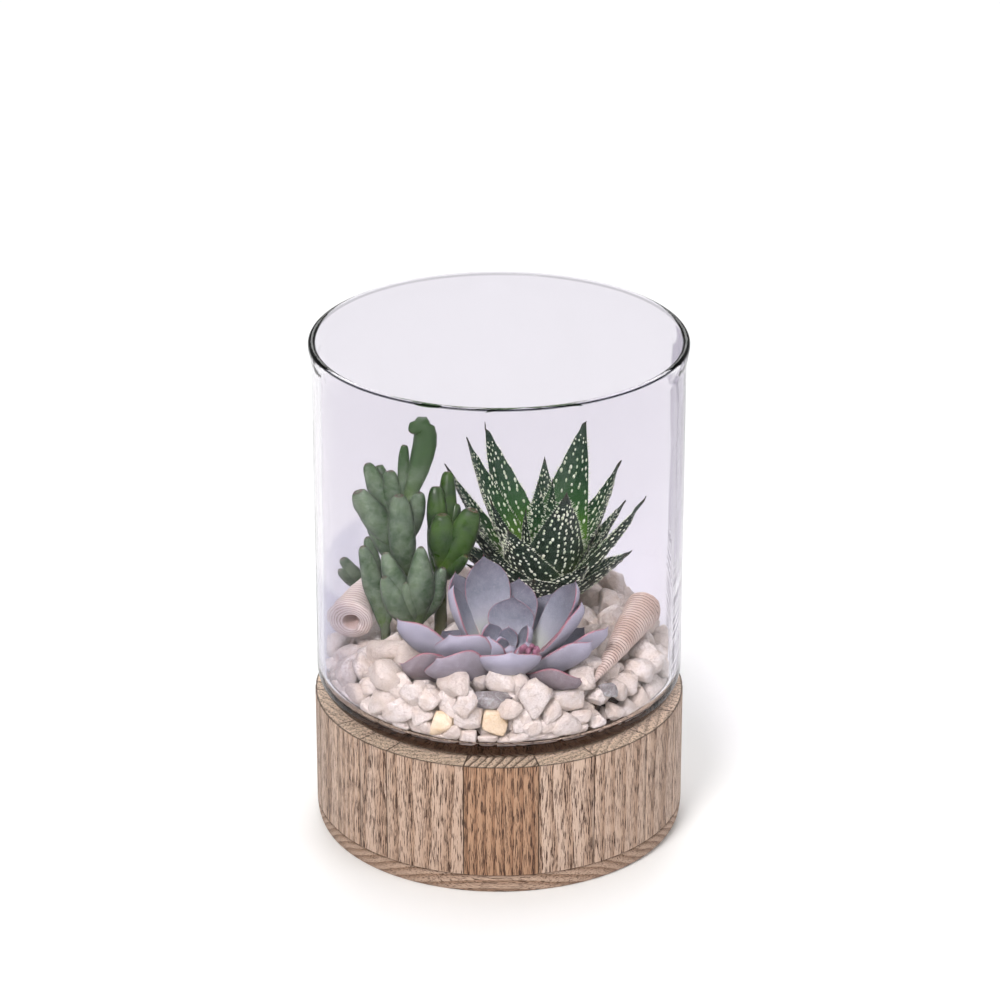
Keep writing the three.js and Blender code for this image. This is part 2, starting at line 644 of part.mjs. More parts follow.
// An angular chip: a block with its corners moved in or out, stretched and turned.
function chip({ centre, size, turn, seed }, ceiling = ceilingAt, grow = 0) {
  const random = randomFrom(seed);
  const block = new THREE.BoxGeometry(CHIP_BLOCK, CHIP_BLOCK, CHIP_BLOCK);
  block.deleteAttribute('normal');
  block.deleteAttribute('uv');
  const merged = mergeVertices(block, MERGE);
  const position = merged.attributes.position;
  const rotation = new THREE.Euler(...turn.map(THREE.MathUtils.degToRad));
  for (let i = 0; i < position.count; i += 1) {
    const reach = 0.84 + 0.24 * random();
    const corner = new THREE.Vector3().fromBufferAttribute(position, i).multiplyScalar(reach);
    corner.multiply(new THREE.Vector3(...size.map((half) => half + 1.5 * grow)));
    corner.applyEuler(rotation).add(new THREE.Vector3(...centre));
    keepInside(corner, ceiling, grow);
    position.setXYZ(i, corner.x, corner.y, corner.z);
  }
  return solidOf(merged);
}

const looseStone = (stone, grow = 0) => chip(stone, () => Infinity, grow);

const NECKS = [
  { x: ECHEVERIA.x, y: ECHEVERIA.y, radius: ECHEVERIA.neck },
  { x: ALOE.x, y: ALOE.y, radius: ALOE.neck },
  ...Object.values(JADE_STEMS).map(({ path: [[x, y]], radius }) => ({ x, y, radius: radius + 0.6 })),
];

// The chips of the bed: the picked ones, rows along the glass, and a sunflower pattern over the top.
function bedChips() {
  const chips = PICKED_CHIPS.map(([angle, radius, z, across, along, up], n) => ({
    centre: around(angle, radius, z).toArray(), size: [across, along, up], turn: [0, 0, angle], seed: 100 + n,
  }));
  const taken = [...chips, ...Object.values(LOOSE_STONES)];
  const spots = [];
  WALL_ROWS.forEach((z, row) => {
    for (let n = 0; n < WALL_CHIPS; n += 1) {
      spots.push(around(((n + 0.5 * row) * 360) / WALL_CHIPS, WALL_CHIP_RADIUS, z));
    }
  });
  const topCount = Math.round((Math.PI * BED_CHIP_RADIUS ** 2) / CHIP_SPACING ** 2);
  for (let n = 0; n < topCount; n += 1) {
    spots.push(around(n * SUNFLOWER_TURN, BED_CHIP_RADIUS * Math.sqrt((n + 0.5) / topCount), BED_LEVEL));
  }
  spots.forEach((spot, n) => {
    const random = randomFrom(PEBBLE_SEED + n);
    const wobble = new THREE.Vector3(random() - 0.5, random() - 0.5, random() - 0.5);
    const centre = spot.clone().addScaledVector(wobble, CHIP_WOBBLE);
    const size = [0, 1, 2].map(() => CHIP_SIZE * (CHIP_SMALLEST + CHIP_SPREAD * random()));
    const turn = [0, 1, 2].map(() => 360 * random());
    const near = (other) => {
      const distance = centre.distanceTo(new THREE.Vector3(...other.centre));
      return distance < CHIP_CLOSENESS * (other.size[0] + size[0]);
    };
    const onNeck = NECKS.some(({ x, y, radius }) => Math.hypot(x - centre.x, y - centre.y) < radius + 2);
    const covered = ceilingAt(centre) < BED_LEVEL + 0.5;
    if (!onNeck && !covered && !taken.some(near)) {
      chips.push({ centre: centre.toArray(), size, turn, seed: PEBBLE_SEED + 1000 + n });
    }
  });
  return chips;
}

// The packed middle of the bed, which the chips stand out of: a layer over the soil with a skirt round it.
function bedCore() {
  return turned([
    [0, SOIL_TOP],
    [SOIL_RADIUS, SOIL_TOP],
    [SOIL_RADIUS, FLOOR_Z],
    [SOIL_RADIUS + 2, FLOOR_Z],
    [BED_CORE_RADIUS, FLOOR_Z + 4],
    [BED_CORE_RADIUS, BED_CORE_TOP - 2],
    [BED_CORE_RADIUS - 3, BED_CORE_TOP],
    [0, BED_CORE_TOP],
  ], BED_SIDES);
}

const soilBlock = (bottom) =>
  turned([[0, bottom], [SOIL_RADIUS, bottom], [SOIL_RADIUS, SOIL_TOP], [0, SOIL_TOP]], BED_SIDES);

const stemHoles = (bottom, top) =>
  NECKS.map(({ x, y, radius }) => post(x, y, radius + GAP, bottom, top));

const soil = () => cutBy(soilBlock(FLOOR_Z), stemHoles(HOLE_BOTTOM, SOIL_TOP + 1));

function pebbleBed() {
  const whole = joined([bedCore(), ...bedChips().map((one) => chip(one))]);
  const holes = stemHoles(SOIL_TOP - 1, BED_LEVEL + 9);
  const pockets = Object.values(LOOSE_STONES).map((stone) => looseStone(stone, GAP));
  const shells = [LEFT_SHELL, RIGHT_SHELL].map((shell) => (
    spiralShell({ ...shell, rise: 0, whorls: 2 }, 1.2 * GAP)
  ));
  return largestBody(cutBy(whole, [soilBlock(FLOOR_Z - 1), ...holes, ...pockets, ...shells]));
}

// ---- Assembly -----------------------------------------------------------------------------------

const terrarium = new THREE.Group();

const wood = new THREE.Group();
wood.add(meshOf('base_board', FINISH.boardWood, baseBoard()));
const backStep = (360 - (FRONT_JOINTS.at(-1) - FRONT_JOINTS[0])) / BACK_STAVES;
const backJoints = Array.from({ length: BACK_STAVES }, (_, n) => FRONT_JOINTS.at(-1) + (n + 1) * backStep);
const joints = [...FRONT_JOINTS, ...backJoints];
for (let n = 0; n + 1 < joints.length; n += 1) {
  const finish = n === DARK_STAVE ? FINISH.darkWood : FINISH.paleWood;
  const name = `stave_${String(n + 1).padStart(2, '0')}`;
  wood.add(meshOf(name, finish, stave(joints[n], joints[n + 1])));
}
terrarium.add(wood);

const filling = new THREE.Group();
filling.add(meshOf('soil', FINISH.soil, soil()));
filling.add(meshOf('pebble_bed', FINISH.whiteChip, pebbleBed()));
for (const [name, stone] of Object.entries(LOOSE_STONES)) {
  filling.add(meshOf(name, FINISH[stone.finish], looseStone(stone)));
}
filling.add(meshOf('shell_left', FINISH.shellCream, spiralShell(LEFT_SHELL)));
filling.add(meshOf('shell_right', FINISH.shellPink, spiralShell(RIGHT_SHELL)));
terrarium.add(filling);

const plants = new THREE.Group();
plants.add(meshOf('echeveria', FINISH.echeveria, echeveria()));
plants.add(meshOf('lace_aloe', FINISH.aloe, laceAloe()));
for (const [name, stem] of Object.entries(JADE_STEMS)) {
  plants.add(meshOf(name, FINISH[stem.finish], jadeStem(stem)));
}
terrarium.add(plants);

terrarium.add(meshOf('glass_jar', FINISH.glass, glassJar()));

export default terrarium;
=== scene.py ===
"""A planted glass terrarium: a wooden stave base, a glass jar, marble chips, shells and succulents.

Lengths in the shape functions are millimetres, and become metres when a piece is made. Headings are degrees
round the jar from the front, plus towards the right. Colours are display codes, or linear numbers.
"""

import math

import bmesh
import bpy
import numpy as np
from mathutils import Euler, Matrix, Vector


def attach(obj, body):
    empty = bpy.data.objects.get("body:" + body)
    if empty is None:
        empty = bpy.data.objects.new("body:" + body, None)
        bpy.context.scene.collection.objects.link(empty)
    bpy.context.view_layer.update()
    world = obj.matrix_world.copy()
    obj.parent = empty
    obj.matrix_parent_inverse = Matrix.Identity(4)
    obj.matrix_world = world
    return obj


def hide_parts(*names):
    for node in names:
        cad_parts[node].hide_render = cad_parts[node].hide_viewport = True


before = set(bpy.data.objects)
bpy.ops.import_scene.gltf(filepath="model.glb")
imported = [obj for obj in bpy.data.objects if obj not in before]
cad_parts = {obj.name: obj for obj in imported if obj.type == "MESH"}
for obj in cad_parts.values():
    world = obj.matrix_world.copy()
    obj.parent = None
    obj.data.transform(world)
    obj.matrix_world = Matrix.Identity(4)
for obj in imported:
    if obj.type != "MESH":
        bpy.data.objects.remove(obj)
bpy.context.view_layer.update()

MM = 0.001
TAU = 2 * np.pi
UP = np.array([0.0, 0.0, 1.0])
WOOD_RADIUS = 76.0
WOOD_TOP = 57.0


# ---- Meshes ----

def surface(points, quads, triangles, **values):
    """Points, four-sided faces, three-sided faces, and one value per point for each named attribute."""
    return {
        "points": np.asarray(points, float).reshape(-1, 3),
        "quads": np.asarray(quads, int).reshape(-1, 4),
        "triangles": np.asarray(triangles, int).reshape(-1, 3),
        "values": values,
    }


def gathered(surfaces):
    """All the surfaces as one, with the face numbers moved on by the points that come before."""
    starts = np.cumsum([0] + [len(s["points"]) for s in surfaces[:-1]])
    points, quads, triangles = (
        np.concatenate([s[part] + moved * n for s, n in zip(surfaces, starts)])
        for part, moved in (("points", 0), ("quads", 1), ("triangles", 1))
    )
    names = surfaces[0]["values"]
    values = {name: np.concatenate([s["values"][name] for s in surfaces]) for name in names}
    return surface(points, quads, triangles, **values)


def make_piece(name, shape, material, node):
    """Puts a surface into a mesh object that stands for a CAD node and rides on the object's one body."""
    mesh = bpy.data.meshes.new(name)
    quads, triangles = shape["quads"], shape["triangles"]
    corners = np.concatenate([quads.ravel(), triangles.ravel()])
    starts = np.concatenate([4 * np.arange(len(quads)), 4 * len(quads) + 3 * np.arange(len(triangles))])
    mesh.vertices.add(len(shape["points"]))
    mesh.vertices.foreach_set("co", (shape["points"] * MM).astype(np.float32).ravel())
    mesh.loops.add(len(corners))
    mesh.loops.foreach_set("vertex_index", corners.astype(np.int32))
    mesh.polygons.add(len(starts))
    mesh.polygons.foreach_set("loop_start", starts.astype(np.int32))
    mesh.polygons.foreach_set("use_smooth", np.full(len(starts), True))
    mesh.update(calc_edges=True)
    for key, value in shape["values"].items():
        kind, field = ("FLOAT_VECTOR", "vector") if value.ndim == 2 else ("FLOAT", "value")
        attribute = mesh.attributes.new(key, kind, "POINT")
        attribute.data.foreach_set(field, value.astype(np.float32).ravel())
    mesh.validate()
    mesh.materials.append(material)
    piece = bpy.data.objects.new(name, mesh)
    bpy.context.scene.collection.objects.link(piece)
    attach(piece, "root")
    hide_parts(node)


def skin(rings, first, last, **values):
    """Closed skin over rings (stations, sides, 3), with a point before the first ring and one after the last.

    Values are given per ring point. The two end points take the mean of the ring beside them.
    """
    count, sides = rings.shape[:2]
    side = np.arange(sides)
    after = (side + 1) % sides
    rows = 1 + sides * np.arange(count - 1)[:, None]
    quads = np.stack([rows + side, rows + after, rows + sides + after, rows + sides + side], -1)
    end = 1 + count * sides
    foot = np.stack([np.zeros(sides, int), 1 + after, 1 + side], -1)
    tip = np.stack([np.full(sides, end), end - sides + side, end - sides + after], -1)
    full = {}
    for key, value in values.items():
        flat = np.broadcast_to(value, (count, sides))
        full[key] = np.concatenate([[flat[0].mean()], flat.ravel(), [flat[-1].mean()]])
    points = np.concatenate([[first], rings.reshape(-1, 3), [last]])
    return surface(points, quads, np.concatenate([foot, tip]), **full)


def unit(vectors):
    return vectors / np.maximum(np.linalg.norm(vectors, axis=-1, keepdims=True), 1e-9)


def direction(heading, tilt=0.0):
    """Unit vector: heading turns from -Y towards +X, tilt lifts it above the level."""
    h, t = np.radians(heading), np.radians(tilt)
    return np.stack([np.sin(h) * np.cos(t), -np.cos(h) * np.cos(t), np.sin(t) + 0 * h], -1)


def circle(degrees, radius, height):
    return radius * direction(degrees) + UP * np.asarray(height)


def turned(profile, steps, **values):
    """A closed body of revolution: the (radius, height) profile swept round Z, from pole to pole."""
    profile = np.asarray(profile, float)
    rings = circle(np.linspace(0, 360, steps, endpoint=False), profile[:, None, :1], profile[:, None, 1:])
    per_ring = {key: np.asarray(value)[:, None] for key, value in values.items()}
    return skin(rings, profile[0, 1] * UP, profile[-1, 1] * UP, **per_ring)


def bezier(controls, t):
    """Points and unit tangents of a Bezier curve through its first and last control, at each t."""
    controls = np.asarray(controls, float)
    n = len(controls) - 1
    weights = [math.comb(n, k) * t ** k * (1 - t) ** (n - k) for k in range(n + 1)]
    slopes = [n * math.comb(n - 1, k) * t ** k * (1 - t) ** (n - 1 - k) for k in range(n)]
    points = sum(w[:, None] * c for w, c in zip(weights, controls))
    tangents = sum(w[:, None] * c for w, c in zip(slopes, np.diff(controls, axis=0)))
    return points, unit(tangents)


def eased(t, keys, heights):
    """Smooth curve through (key, height) pairs: cubics whose end slopes are the mean of their chords."""
    keys, heights = np.asarray(keys, float), np.asarray(heights, float)
    chords = np.diff(heights) / np.diff(keys)
    slopes = np.concatenate([[chords[0]], (chords[1:] + chords[:-1]) / 2, [chords[-1]]])
    n = np.clip(np.searchsorted(keys, t, side="right") - 1, 0, len(chords) - 1)
    length = keys[n + 1] - keys[n]
    u = np.clip((t - keys[n]) / length, 0, 1)
    start = (1 + 2 * u) * (1 - u) ** 2 * heights[n] + u * (1 - u) ** 2 * length * slopes[n]
    return start + u * u * (3 - 2 * u) * heights[n + 1] - u * u * (1 - u) * length * slopes[n + 1]


def around(count):
    """Angles of evenly spaced points round a section."""
    return np.linspace(0, TAU, count, endpoint=False)


def square_to(tangents, guide):
    """Two unit vectors square to a path at each station, the first of them square to the guide as well."""
    side = unit(np.cross(tangents, guide))
    return side, unit(np.cross(tangents, side))


def rings_about(points, side, across, up, height):
    """Rings round a path's points, moved by across along each station's side and by height along its up."""
    return points[:, None] + side[:, None] * across[..., None] + up[:, None] * height[..., None]


# ---- Material helpers ----

def rgba(colour):
    """Linear colour with full alpha, from a display code such as "#cbb2a1" or from linear numbers."""
    if isinstance(colour, str):
        colour = [((int(colour[n:n + 2], 16) / 255 + 0.055) / 1.055) ** 2.4 for n in (1, 3, 5)]
    return (*colour, 1.0)


def wire(socket, value):
    """Links an output to a socket, or sets the socket to a plain value."""
    if isinstance(value, bpy.types.NodeSocket):
        socket.id_data.links.new(value, socket)
    else:
        socket.default_value = rgba(value) if socket.type == "RGBA" else value


def add(source, kind, inputs=(), **settings):
    """A node in the tree that source is or lies in, with inputs given as (name or number, value) pairs."""
    node = source.id_data.nodes.new(kind)
    for key, value in settings.items():
        setattr(node, key, value)
    for key, value in dict(inputs).items():
        wire(node.inputs[key], value)
    return node


def calc(operation, *values):
    source = next(value for value in values if isinstance(value, bpy.types.NodeSocket))
    return add(source, "ShaderNodeMath", enumerate(values), operation=operation).outputs[0]


def plus(a, b):
    return calc("ADD", a, b)


def minus(a, b):
    return calc("SUBTRACT", a, b)


def times(a, b):
    return calc("MULTIPLY", a, b)


def blend(share, under, over):
    """The colour over laid on the colour under by share."""
    return add(share, "ShaderNodeMix", {0: share, 6: under, 7: over}, data_type="RGBA").outputs[2]


def coats(body, *layers):
    """Lays each (share, colour) on the body in turn."""
    for share, colour in layers:
        body = blend(share, body, colour)
    return body


def span(value, low, high, out_low=0.0, out_high=1.0):
    """Smoothly maps value from low..high to out_low..out_high, held at the ends."""
    pairs = {"Value": value, "From Min": low, "From Max": high, "To Min": out_low, "To Max": out_high}
    return add(value, "ShaderNodeMapRange", pairs, interpolation_type="SMOOTHSTEP").outputs[0]


def ramp(value, *stops):
    """Colours by value, from (position, colour) stops."""
    node = add(value, "ShaderNodeValToRGB", {"Fac": value})
    elements = node.color_ramp.elements
    while len(elements) < len(stops):
        elements.new(0.5)
    for element, (position, colour) in zip(elements, stops):
        element.position = position
        element.color = rgba(colour)
    return node.outputs[0]


def stretched(vector, scale):
    return add(vector, "ShaderNodeMapping", {"Vector": vector, "Scale": scale}).outputs[0]


def millimetres(tree, scale=(1.0, 1.0, 1.0)):
    """Object coordinates in millimetres times scale."""
    place = add(tree, "ShaderNodeTexCoord").outputs["Object"]
    return stretched(place, tuple(1000 * factor for factor in scale))


def components(vector):
    return add(vector, "ShaderNodeSeparateXYZ", {0: vector}).outputs


def noise(vector, scale=1.0, detail=2.0, roughness=0.5):
    pairs = {"Vector": vector, "Scale": scale, "Detail": detail, "Roughness": roughness}
    return add(vector, "ShaderNodeTexNoise", pairs).outputs["Fac"]


def mark(tree, name, output="Fac"):
    """A named attribute of the mesh."""
    return add(tree, "ShaderNodeAttribute", attribute_name=name).outputs[output]


def facing(tree):
    """Nought where the surface is seen square on, and one at its outline."""
    return add(tree, "ShaderNodeLayerWeight", {"Blend": 0.5}).outputs["Facing"]


def effect(name, outputs, **inputs):
    """A new node group with named sockets: its tree, what its inputs give, and what its outputs take."""
    tree = bpy.data.node_groups.new(name, "ShaderNodeTree")
    for key, default in inputs.items():
        kind = "NodeSocketVector" if isinstance(default, tuple) else "NodeSocketFloat"
        socket = tree.interface.new_socket(key.replace("_", " "), in_out="INPUT", socket_type=kind)
        socket.default_value = default
    for key in outputs:
        tree.interface.new_socket(key, in_out="OUTPUT", socket_type="NodeSocketFloat")
    return tree, tree.nodes.new("NodeGroupInput").outputs, tree.nodes.new("NodeGroupOutput").inputs


def use(tree, group, **inputs):
    """Places a node group in a material with its own values, underscores for spaces in their names."""
    pairs = {key.replace("_", " "): value for key, value in inputs.items()}
    return add(tree, "ShaderNodeGroup", pairs, node_tree=group).outputs


def new_material(name):
    """An empty Principled material, and its node tree."""
    material = bpy.data.materials.new(name)
    material.use_nodes = True
    return material, material.node_tree


def dressed(material, height=None, bump=0.0, strength=1.0, **inputs):
    """Wires the material's shader, underscores for spaces. Bump is how proud a height of 1 stands, in mm."""
    shader = material.node_tree.nodes["Principled BSDF"]
    if height is not None:
        pairs = {"Height": height, "Strength": strength, "Distance": bump * MM}
        inputs["Normal"] = add(height, "ShaderNodeBump", pairs).outputs[0]
    for key, value in inputs.items():
        wire(shader.inputs[key.replace("_", " ")], value)
    return material


# ---- Shared effects ----

def wood_grain():
    """Solid wood whose long axis is the position's Z.

    Rings are a sawtooth of distance along the ring direction, bent by slow noise. Pores are short dark
    dashes, noise drawn out along Z and kept where it is high.
    """
    tree, given, out = effect(
        "wood_grain", ("Rings", "Pores", "Fibres"), Position=(0.0, 0.0, 0.0), Ring_Direction=(1.0, 0.0, 0.0),
        Ring_Width=3.0, Bend=4.0, Pore_Limit=0.56,
    )
    place = given["Position"]
    pair = {0: place, 1: given["Ring Direction"]}
    along = add(tree, "ShaderNodeVectorMath", pair, operation="DOT_PRODUCT")
    slow = times(minus(noise(stretched(place, (0.05, 0.05, 0.014))), 0.5), given["Bend"])
    phase = calc("FRACT", calc("DIVIDE", plus(along.outputs["Value"], slow), given["Ring Width"]))
    late = times(span(phase, 0.25, 0.9), span(phase, 1.0, 0.93))
    pores = noise(stretched(place, (2.9, 2.9, 0.15)), 1.0, 2.0, 0.65)
    limit = minus(given["Pore Limit"], times(late, 0.05))
    wire(out["Rings"], late)
    wire(out["Pores"], span(minus(pores, limit), 0.0, 0.045))
    wire(out["Fibres"], noise(stretched(place, (4.5, 4.5, 0.2)), 1.0, 3.0, 0.7))
    return tree


def stone_relief():
    """Relief of broken stone: coarse noise, fine noise, and thin veins where a slow noise crosses a half."""
    tree, given, out = effect("stone_relief", ("Mottle", "Relief", "Veins"), Grain=0.9)
    place = millimetres(tree)
    coarse = noise(place, 0.16, 3.0, 0.6)
    crossing = calc("ABSOLUTE", minus(noise(place, 0.12), 0.5))
    wire(out["Mottle"], coarse)
    wire(out["Relief"], plus(noise(place, given["Grain"], 5.0, 0.65), times(coarse, 0.7)))
    wire(out["Veins"], span(crossing, 0.02, 0.0))
    return tree


def leaf_skin():
    """Skin of a succulent leaf: dusty bloom in soft patches, and fine pale specks from small cells."""
    tree, given, out = effect("leaf_skin", ("Bloom", "Specks", "Relief"), Speck_Scale=1.3, Speck_Size=0.22)
    place = millimetres(tree)
    patches = noise(place, 0.35, 4.0, 0.62)
    dust = noise(place, 3.2, 2.0, 0.6)
    pairs = {"Vector": place, "Scale": given["Speck Scale"], "Randomness": 1.0}
    cells = add(tree, "ShaderNodeTexVoronoi", pairs).outputs["Distance"]
    lit = calc("GREATER_THAN", noise(place, 0.8, 1.0), 0.42)
    wire(out["Bloom"], times(patches, plus(dust, 0.5)))
    wire(out["Specks"], times(calc("LESS_THAN", cells, given["Speck Size"]), lit))
    wire(out["Relief"], plus(patches, times(dust, 0.3)))
    return tree


WOOD_GRAIN = wood_grain()
STONE_RELIEF = stone_relief()
LEAF_SKIN = leaf_skin()


# ---- Materials ----

def wood_material(name, pale, dark, pore, pore_limit, ring_share, end_share, lying=False):
    """Oiled wood: two tones by ring, dark pores, and fibres that break up colour, roughness and height."""
    material, tree = new_material(name)
    place = millimetres(tree)
    dots = span(noise(place, 1.5, 2.0, 0.6), 0.5, 0.6, 0.0, 0.65)
    if lying:
        x, y, z = components(place)
        place = add(tree, "ShaderNodeCombineXYZ", {"X": y, "Y": z, "Z": x}).outputs[0]
    ring = mark(tree, "ring_direction", "Vector")
    grain = use(tree, WOOD_GRAIN, Position=place, Ring_Direction=ring, Pore_Limit=pore_limit)
    rings, pores, fibres = grain["Rings"], grain["Pores"], grain["Fibres"]
    cut_end = coats("#e2cab2", (dots, pore), (times(calc("POWER", rings, 2.0), end_share), pore))
    body = coats(
        pale,
        (times(rings, ring_share), dark),
        (span(fibres, 0.35, 0.65, 0.0, 0.35), dark),
        (times(mark(tree, "stave_tone"), 0.3), dark),
        (pores, pore),
        (mark(tree, "cut_end"), cut_end),
        # Dark joints between staves, and painted shade along their top and bottom edges.
        (times(mark(tree, "edge"), 0.95), "#321e12"),
    )
    rough = span(fibres, 0.2, 0.8, 0.5, 0.68)
    return dressed(material, minus(fibres, pores), 0.12, Base_Color=body, Roughness=rough)


def clear_glass():
    """Clear glass with a faint lilac cast, painted dark reflections in lines at its lip, and a painted dark
    reflection band with slanting gleams at its right edge. Painted shade darkens its back half and its lower
    left.

    Lamps pass straight through, so that the planting is lit, and its foot is see-through in the same way,
    with a painted contact shadow where it touches the wood.
    """
    material, tree = new_material("clear_glass")
    x, y, z = components(millimetres(tree))
    # Painted dark reflection band along the right edge, broken by slanting painted gleams and darker lower
    # down.
    slant = add(tree, "ShaderNodeCombineXYZ", {"X": minus(z, times(y, 0.33))}).outputs[0]
    gleam = times(span(noise(slant, 0.55, 2.0, 0.6), 0.48, 0.53), span(z, 132, 112))
    right = times(times(span(facing(tree), 0.7, 0.74), span(x, 10, 40)), minus(1.0, gleam))
    # Painted shade on the lower left of the wall.
    painted_shade_low_left = times(times(span(x, -52, -64), span(z, 116, 110)), 0.5)
    body = coats(
        # Painted shade: the back half of the glass is darker than its front.
        blend(span(y, -30, 30), "#f4f2f6", "#e5e2e9"),
        (painted_shade_low_left, "#bebcd0"),
        (right, blend(span(z, 132, 112), "#9690a0", "#403a46")),
        # Painted dark reflections in lines round the lip.
        (mark(tree, "rim"), "#0a0c12"),
    )
    streaks = noise(millimetres(tree, (0.09, 0.09, 0.012)))
    dressed(
        material, streaks, 0.35, 0.5, Base_Color=body,
        Transmission_Weight=1.0, Roughness=0.0, IOR=1.15, Metallic=0.0,
    )
    # Painted contact shadow: the see-through foot darkens where it touches the wood.
    foot = blend(span(z, WOOD_TOP + 1.4, WOOD_TOP + 0.7), "#faf8fc", "#786c64")
    clear = add(tree, "ShaderNodeBsdfTransparent", {"Color": foot}).outputs[0]
    ray = add(tree, "ShaderNodeLightPath").outputs["Is Shadow Ray"]
    straight = calc("MAXIMUM", ray, mark(tree, "contact"))
    glass = tree.nodes["Principled BSDF"].outputs[0]
    mixed = add(tree, "ShaderNodeMixShader", {0: straight, 1: glass, 2: clear}).outputs[0]
    wire(tree.nodes["Material Output"].inputs["Surface"], mixed)
    return material


def stone_material(name, pale, shade, vein, roughness, bump, grain=0.9):
    """Broken stone: two tones by mottle and by each stone's own tone, with thin veins and a fine relief."""
    material, tree = new_material(name)
    stone_marks = use(tree, STONE_RELIEF, Grain=grain)
    relief = stone_marks["Relief"]
    sugar = noise(millimetres(tree), 2.4, 3.0, 0.7)
    body = coats(
        blend(span(stone_marks["Mottle"], 0.35, 0.7), pale, shade),
        (times(mark(tree, "stone_tone"), 0.8), shade),
        (times(stone_marks["Veins"], 0.35), vein),
        (span(relief, 0.82, 0.6, 0.0, 0.4), vein),
        (span(sugar, 0.5, 0.66, 0.0, 0.4), vein),
    )
    rough = span(relief, 0.4, 1.2, roughness - 0.1, roughness + 0.12)
    return dressed(material, relief, bump, Base_Color=body, Roughness=rough)


def soil_material():
    """Damp potting soil: dark crumbs with paler fibres."""
    material, tree = new_material("potting_soil")
    crumbs = noise(millimetres(tree), 0.5, 6.0, 0.7)
    body = ramp(crumbs, (0.3, "#3a2c22"), (0.6, "#604e3e"), (0.8, "#8c765e"))
    return dressed(material, crumbs, 1.2, Base_Color=body, Roughness=0.95)


def shell_material(name, pale, flush, groove, share):
    """Shell: pale ribs, brown in the grooves between them, soft flushes of colour and fine growth lines."""
    material, tree = new_material(name)
    place = millimetres(tree)
    lines = noise(place, 1.8, 3.0, 0.6)
    body = coats(
        blend(span(noise(place, 0.09, 3.0), 0.38, 0.66), pale, flush),
        (times(span(mark(tree, "groove"), 0.08, 0.7), share), groove),
        (span(lines, 0.52, 0.72, 0.0, 0.3), flush),
        (times(mark(tree, "inside"), 0.8), "#aa7c60"),
    )
    return dressed(material, lines, 0.15, Base_Color=body, Roughness=span(lines, 0.3, 0.7, 0.38, 0.55))


def echeveria_material():
    """Dusty rosette leaf: slate, pale green towards its foot, lilac underneath, with a pink margin."""
    material, tree = new_material("echeveria_leaf")
    along = mark(tree, "along")
    leaf = use(tree, LEAF_SKIN, Speck_Scale=1.6, Speck_Size=0.2)
    top = ramp(
        along, (0.1, "#c4cc84"), (0.34, "#b2b6a6"), (0.52, "#909298"),
        (0.72, "#686c76"), (0.95, "#585862"),
    )
    under = ramp(along, (0.1, "#8c8a76"), (0.4, "#9a989e"), (0.9, "#908e9a"))
    wavy = times(noise(millimetres(tree), 0.7), 0.05)
    margin = span(plus(mark(tree, "across"), wavy), 0.985, 1.03)
    body = coats(
        under,
        (mark(tree, "age"), "#74686a"),
        (mark(tree, "face"), top),
        (span(leaf["Bloom"], 0.25, 0.75, 0.0, 0.2), "#b0aeb8"),
        (times(leaf["Specks"], 0.25), "#e6e2e4"),
        (times(margin, 0.8), "#a0545e"),
        (mark(tree, "bud"), "#805464"),
    )
    rough = span(leaf["Bloom"], 0.2, 0.8, 0.42, 0.62)
    return dressed(
        material, leaf["Relief"], 0.12, Base_Color=body, Roughness=rough, Specular_IOR_Level=0.25)


def aloe_material():
    """Lace aloe leaf: near-black green, greener on the inner faces, and yellow-green at their feet."""
    material, tree = new_material("aloe_leaf")
    along = mark(tree, "along")
    leaf = use(tree, LEAF_SKIN, Speck_Scale=2.2, Speck_Size=0.2)
    top = ramp(
        along, (0.08, "#a0b242"), (0.28, "#568220"), (0.46, "#285420"),
        (0.64, "#1a3c22"), (0.9, "#162c20"),
    )
    body = coats(
        ramp(along, (0.05, "#3e5428"), (0.35, "#16281a"), (0.9, "#14201c")),
        (mark(tree, "face"), top),
        (span(leaf["Bloom"], 0.3, 0.8, 0.0, 0.22), "#627864"),
        (times(mark(tree, "thread"), 0.8), "#3a322a"),
    )
    return dressed(
        material, leaf["Relief"], 0.15, Base_Color=body, Roughness=0.42, Specular_IOR_Level=0.25)


def spot_material():
    """Raised cream-white spots and marginal hairs of the lace aloe, a little uneven in tone."""
    material, tree = new_material("aloe_spots")
    place = millimetres(tree)
    body = blend(span(noise(place, 0.6), 0.35, 0.7), "#eceedc", "#c4d0aa")
    return dressed(material, noise(place, 4.0), 0.05, Base_Color=body, Roughness=0.5)


def jade_material(name, green, deep, glow, tip, bloom, roughness):
    """Finger jade leaf: fine pale specks, a soft bloom, and a brownish rim round the dimple at its end."""
    material, tree = new_material(name)
    place = millimetres(tree)
    leaf = use(tree, LEAF_SKIN, Speck_Scale=2.5, Speck_Size=0.24)
    rim = span(calc("ABSOLUTE", minus(mark(tree, "mouth"), 0.5)), 0.42, 0.1)
    # Colour of the painted shade towards each leaf's outline.
    outline = tuple(0.35 * c for c in rgba(deep)[:3])
    body = coats(
        green,
        (span(noise(place, 0.12, 3.0, 0.6), 0.35, 0.65), deep),
        (span(mark(tree, "along"), 0.35, 0.0, 0.0, 0.5), glow),
        # Painted shade, darker towards the outline where the leaf turns away.
        (span(facing(tree), 0.35, 0.9, 0.0, 0.85), outline),
        (span(leaf["Bloom"], 0.25, 0.8, 0.0, bloom), "#a4aca6"),
        (times(leaf["Specks"], 2 * bloom), "#c4ceb8"),
        (span(components(place)["Z"], 142, 160, 0.0, 0.75), "#20420e"),
        (times(mark(tree, "bark"), 0.8), "#68604a"),
        (times(rim, 0.85), tip),
    )
    rough = span(leaf["Bloom"], 0.2, 0.8, roughness - 0.08, roughness + 0.1)
    return dressed(
        material, leaf["Relief"], 0.07, Base_Color=body, Roughness=rough, Specular_IOR_Level=0.3)


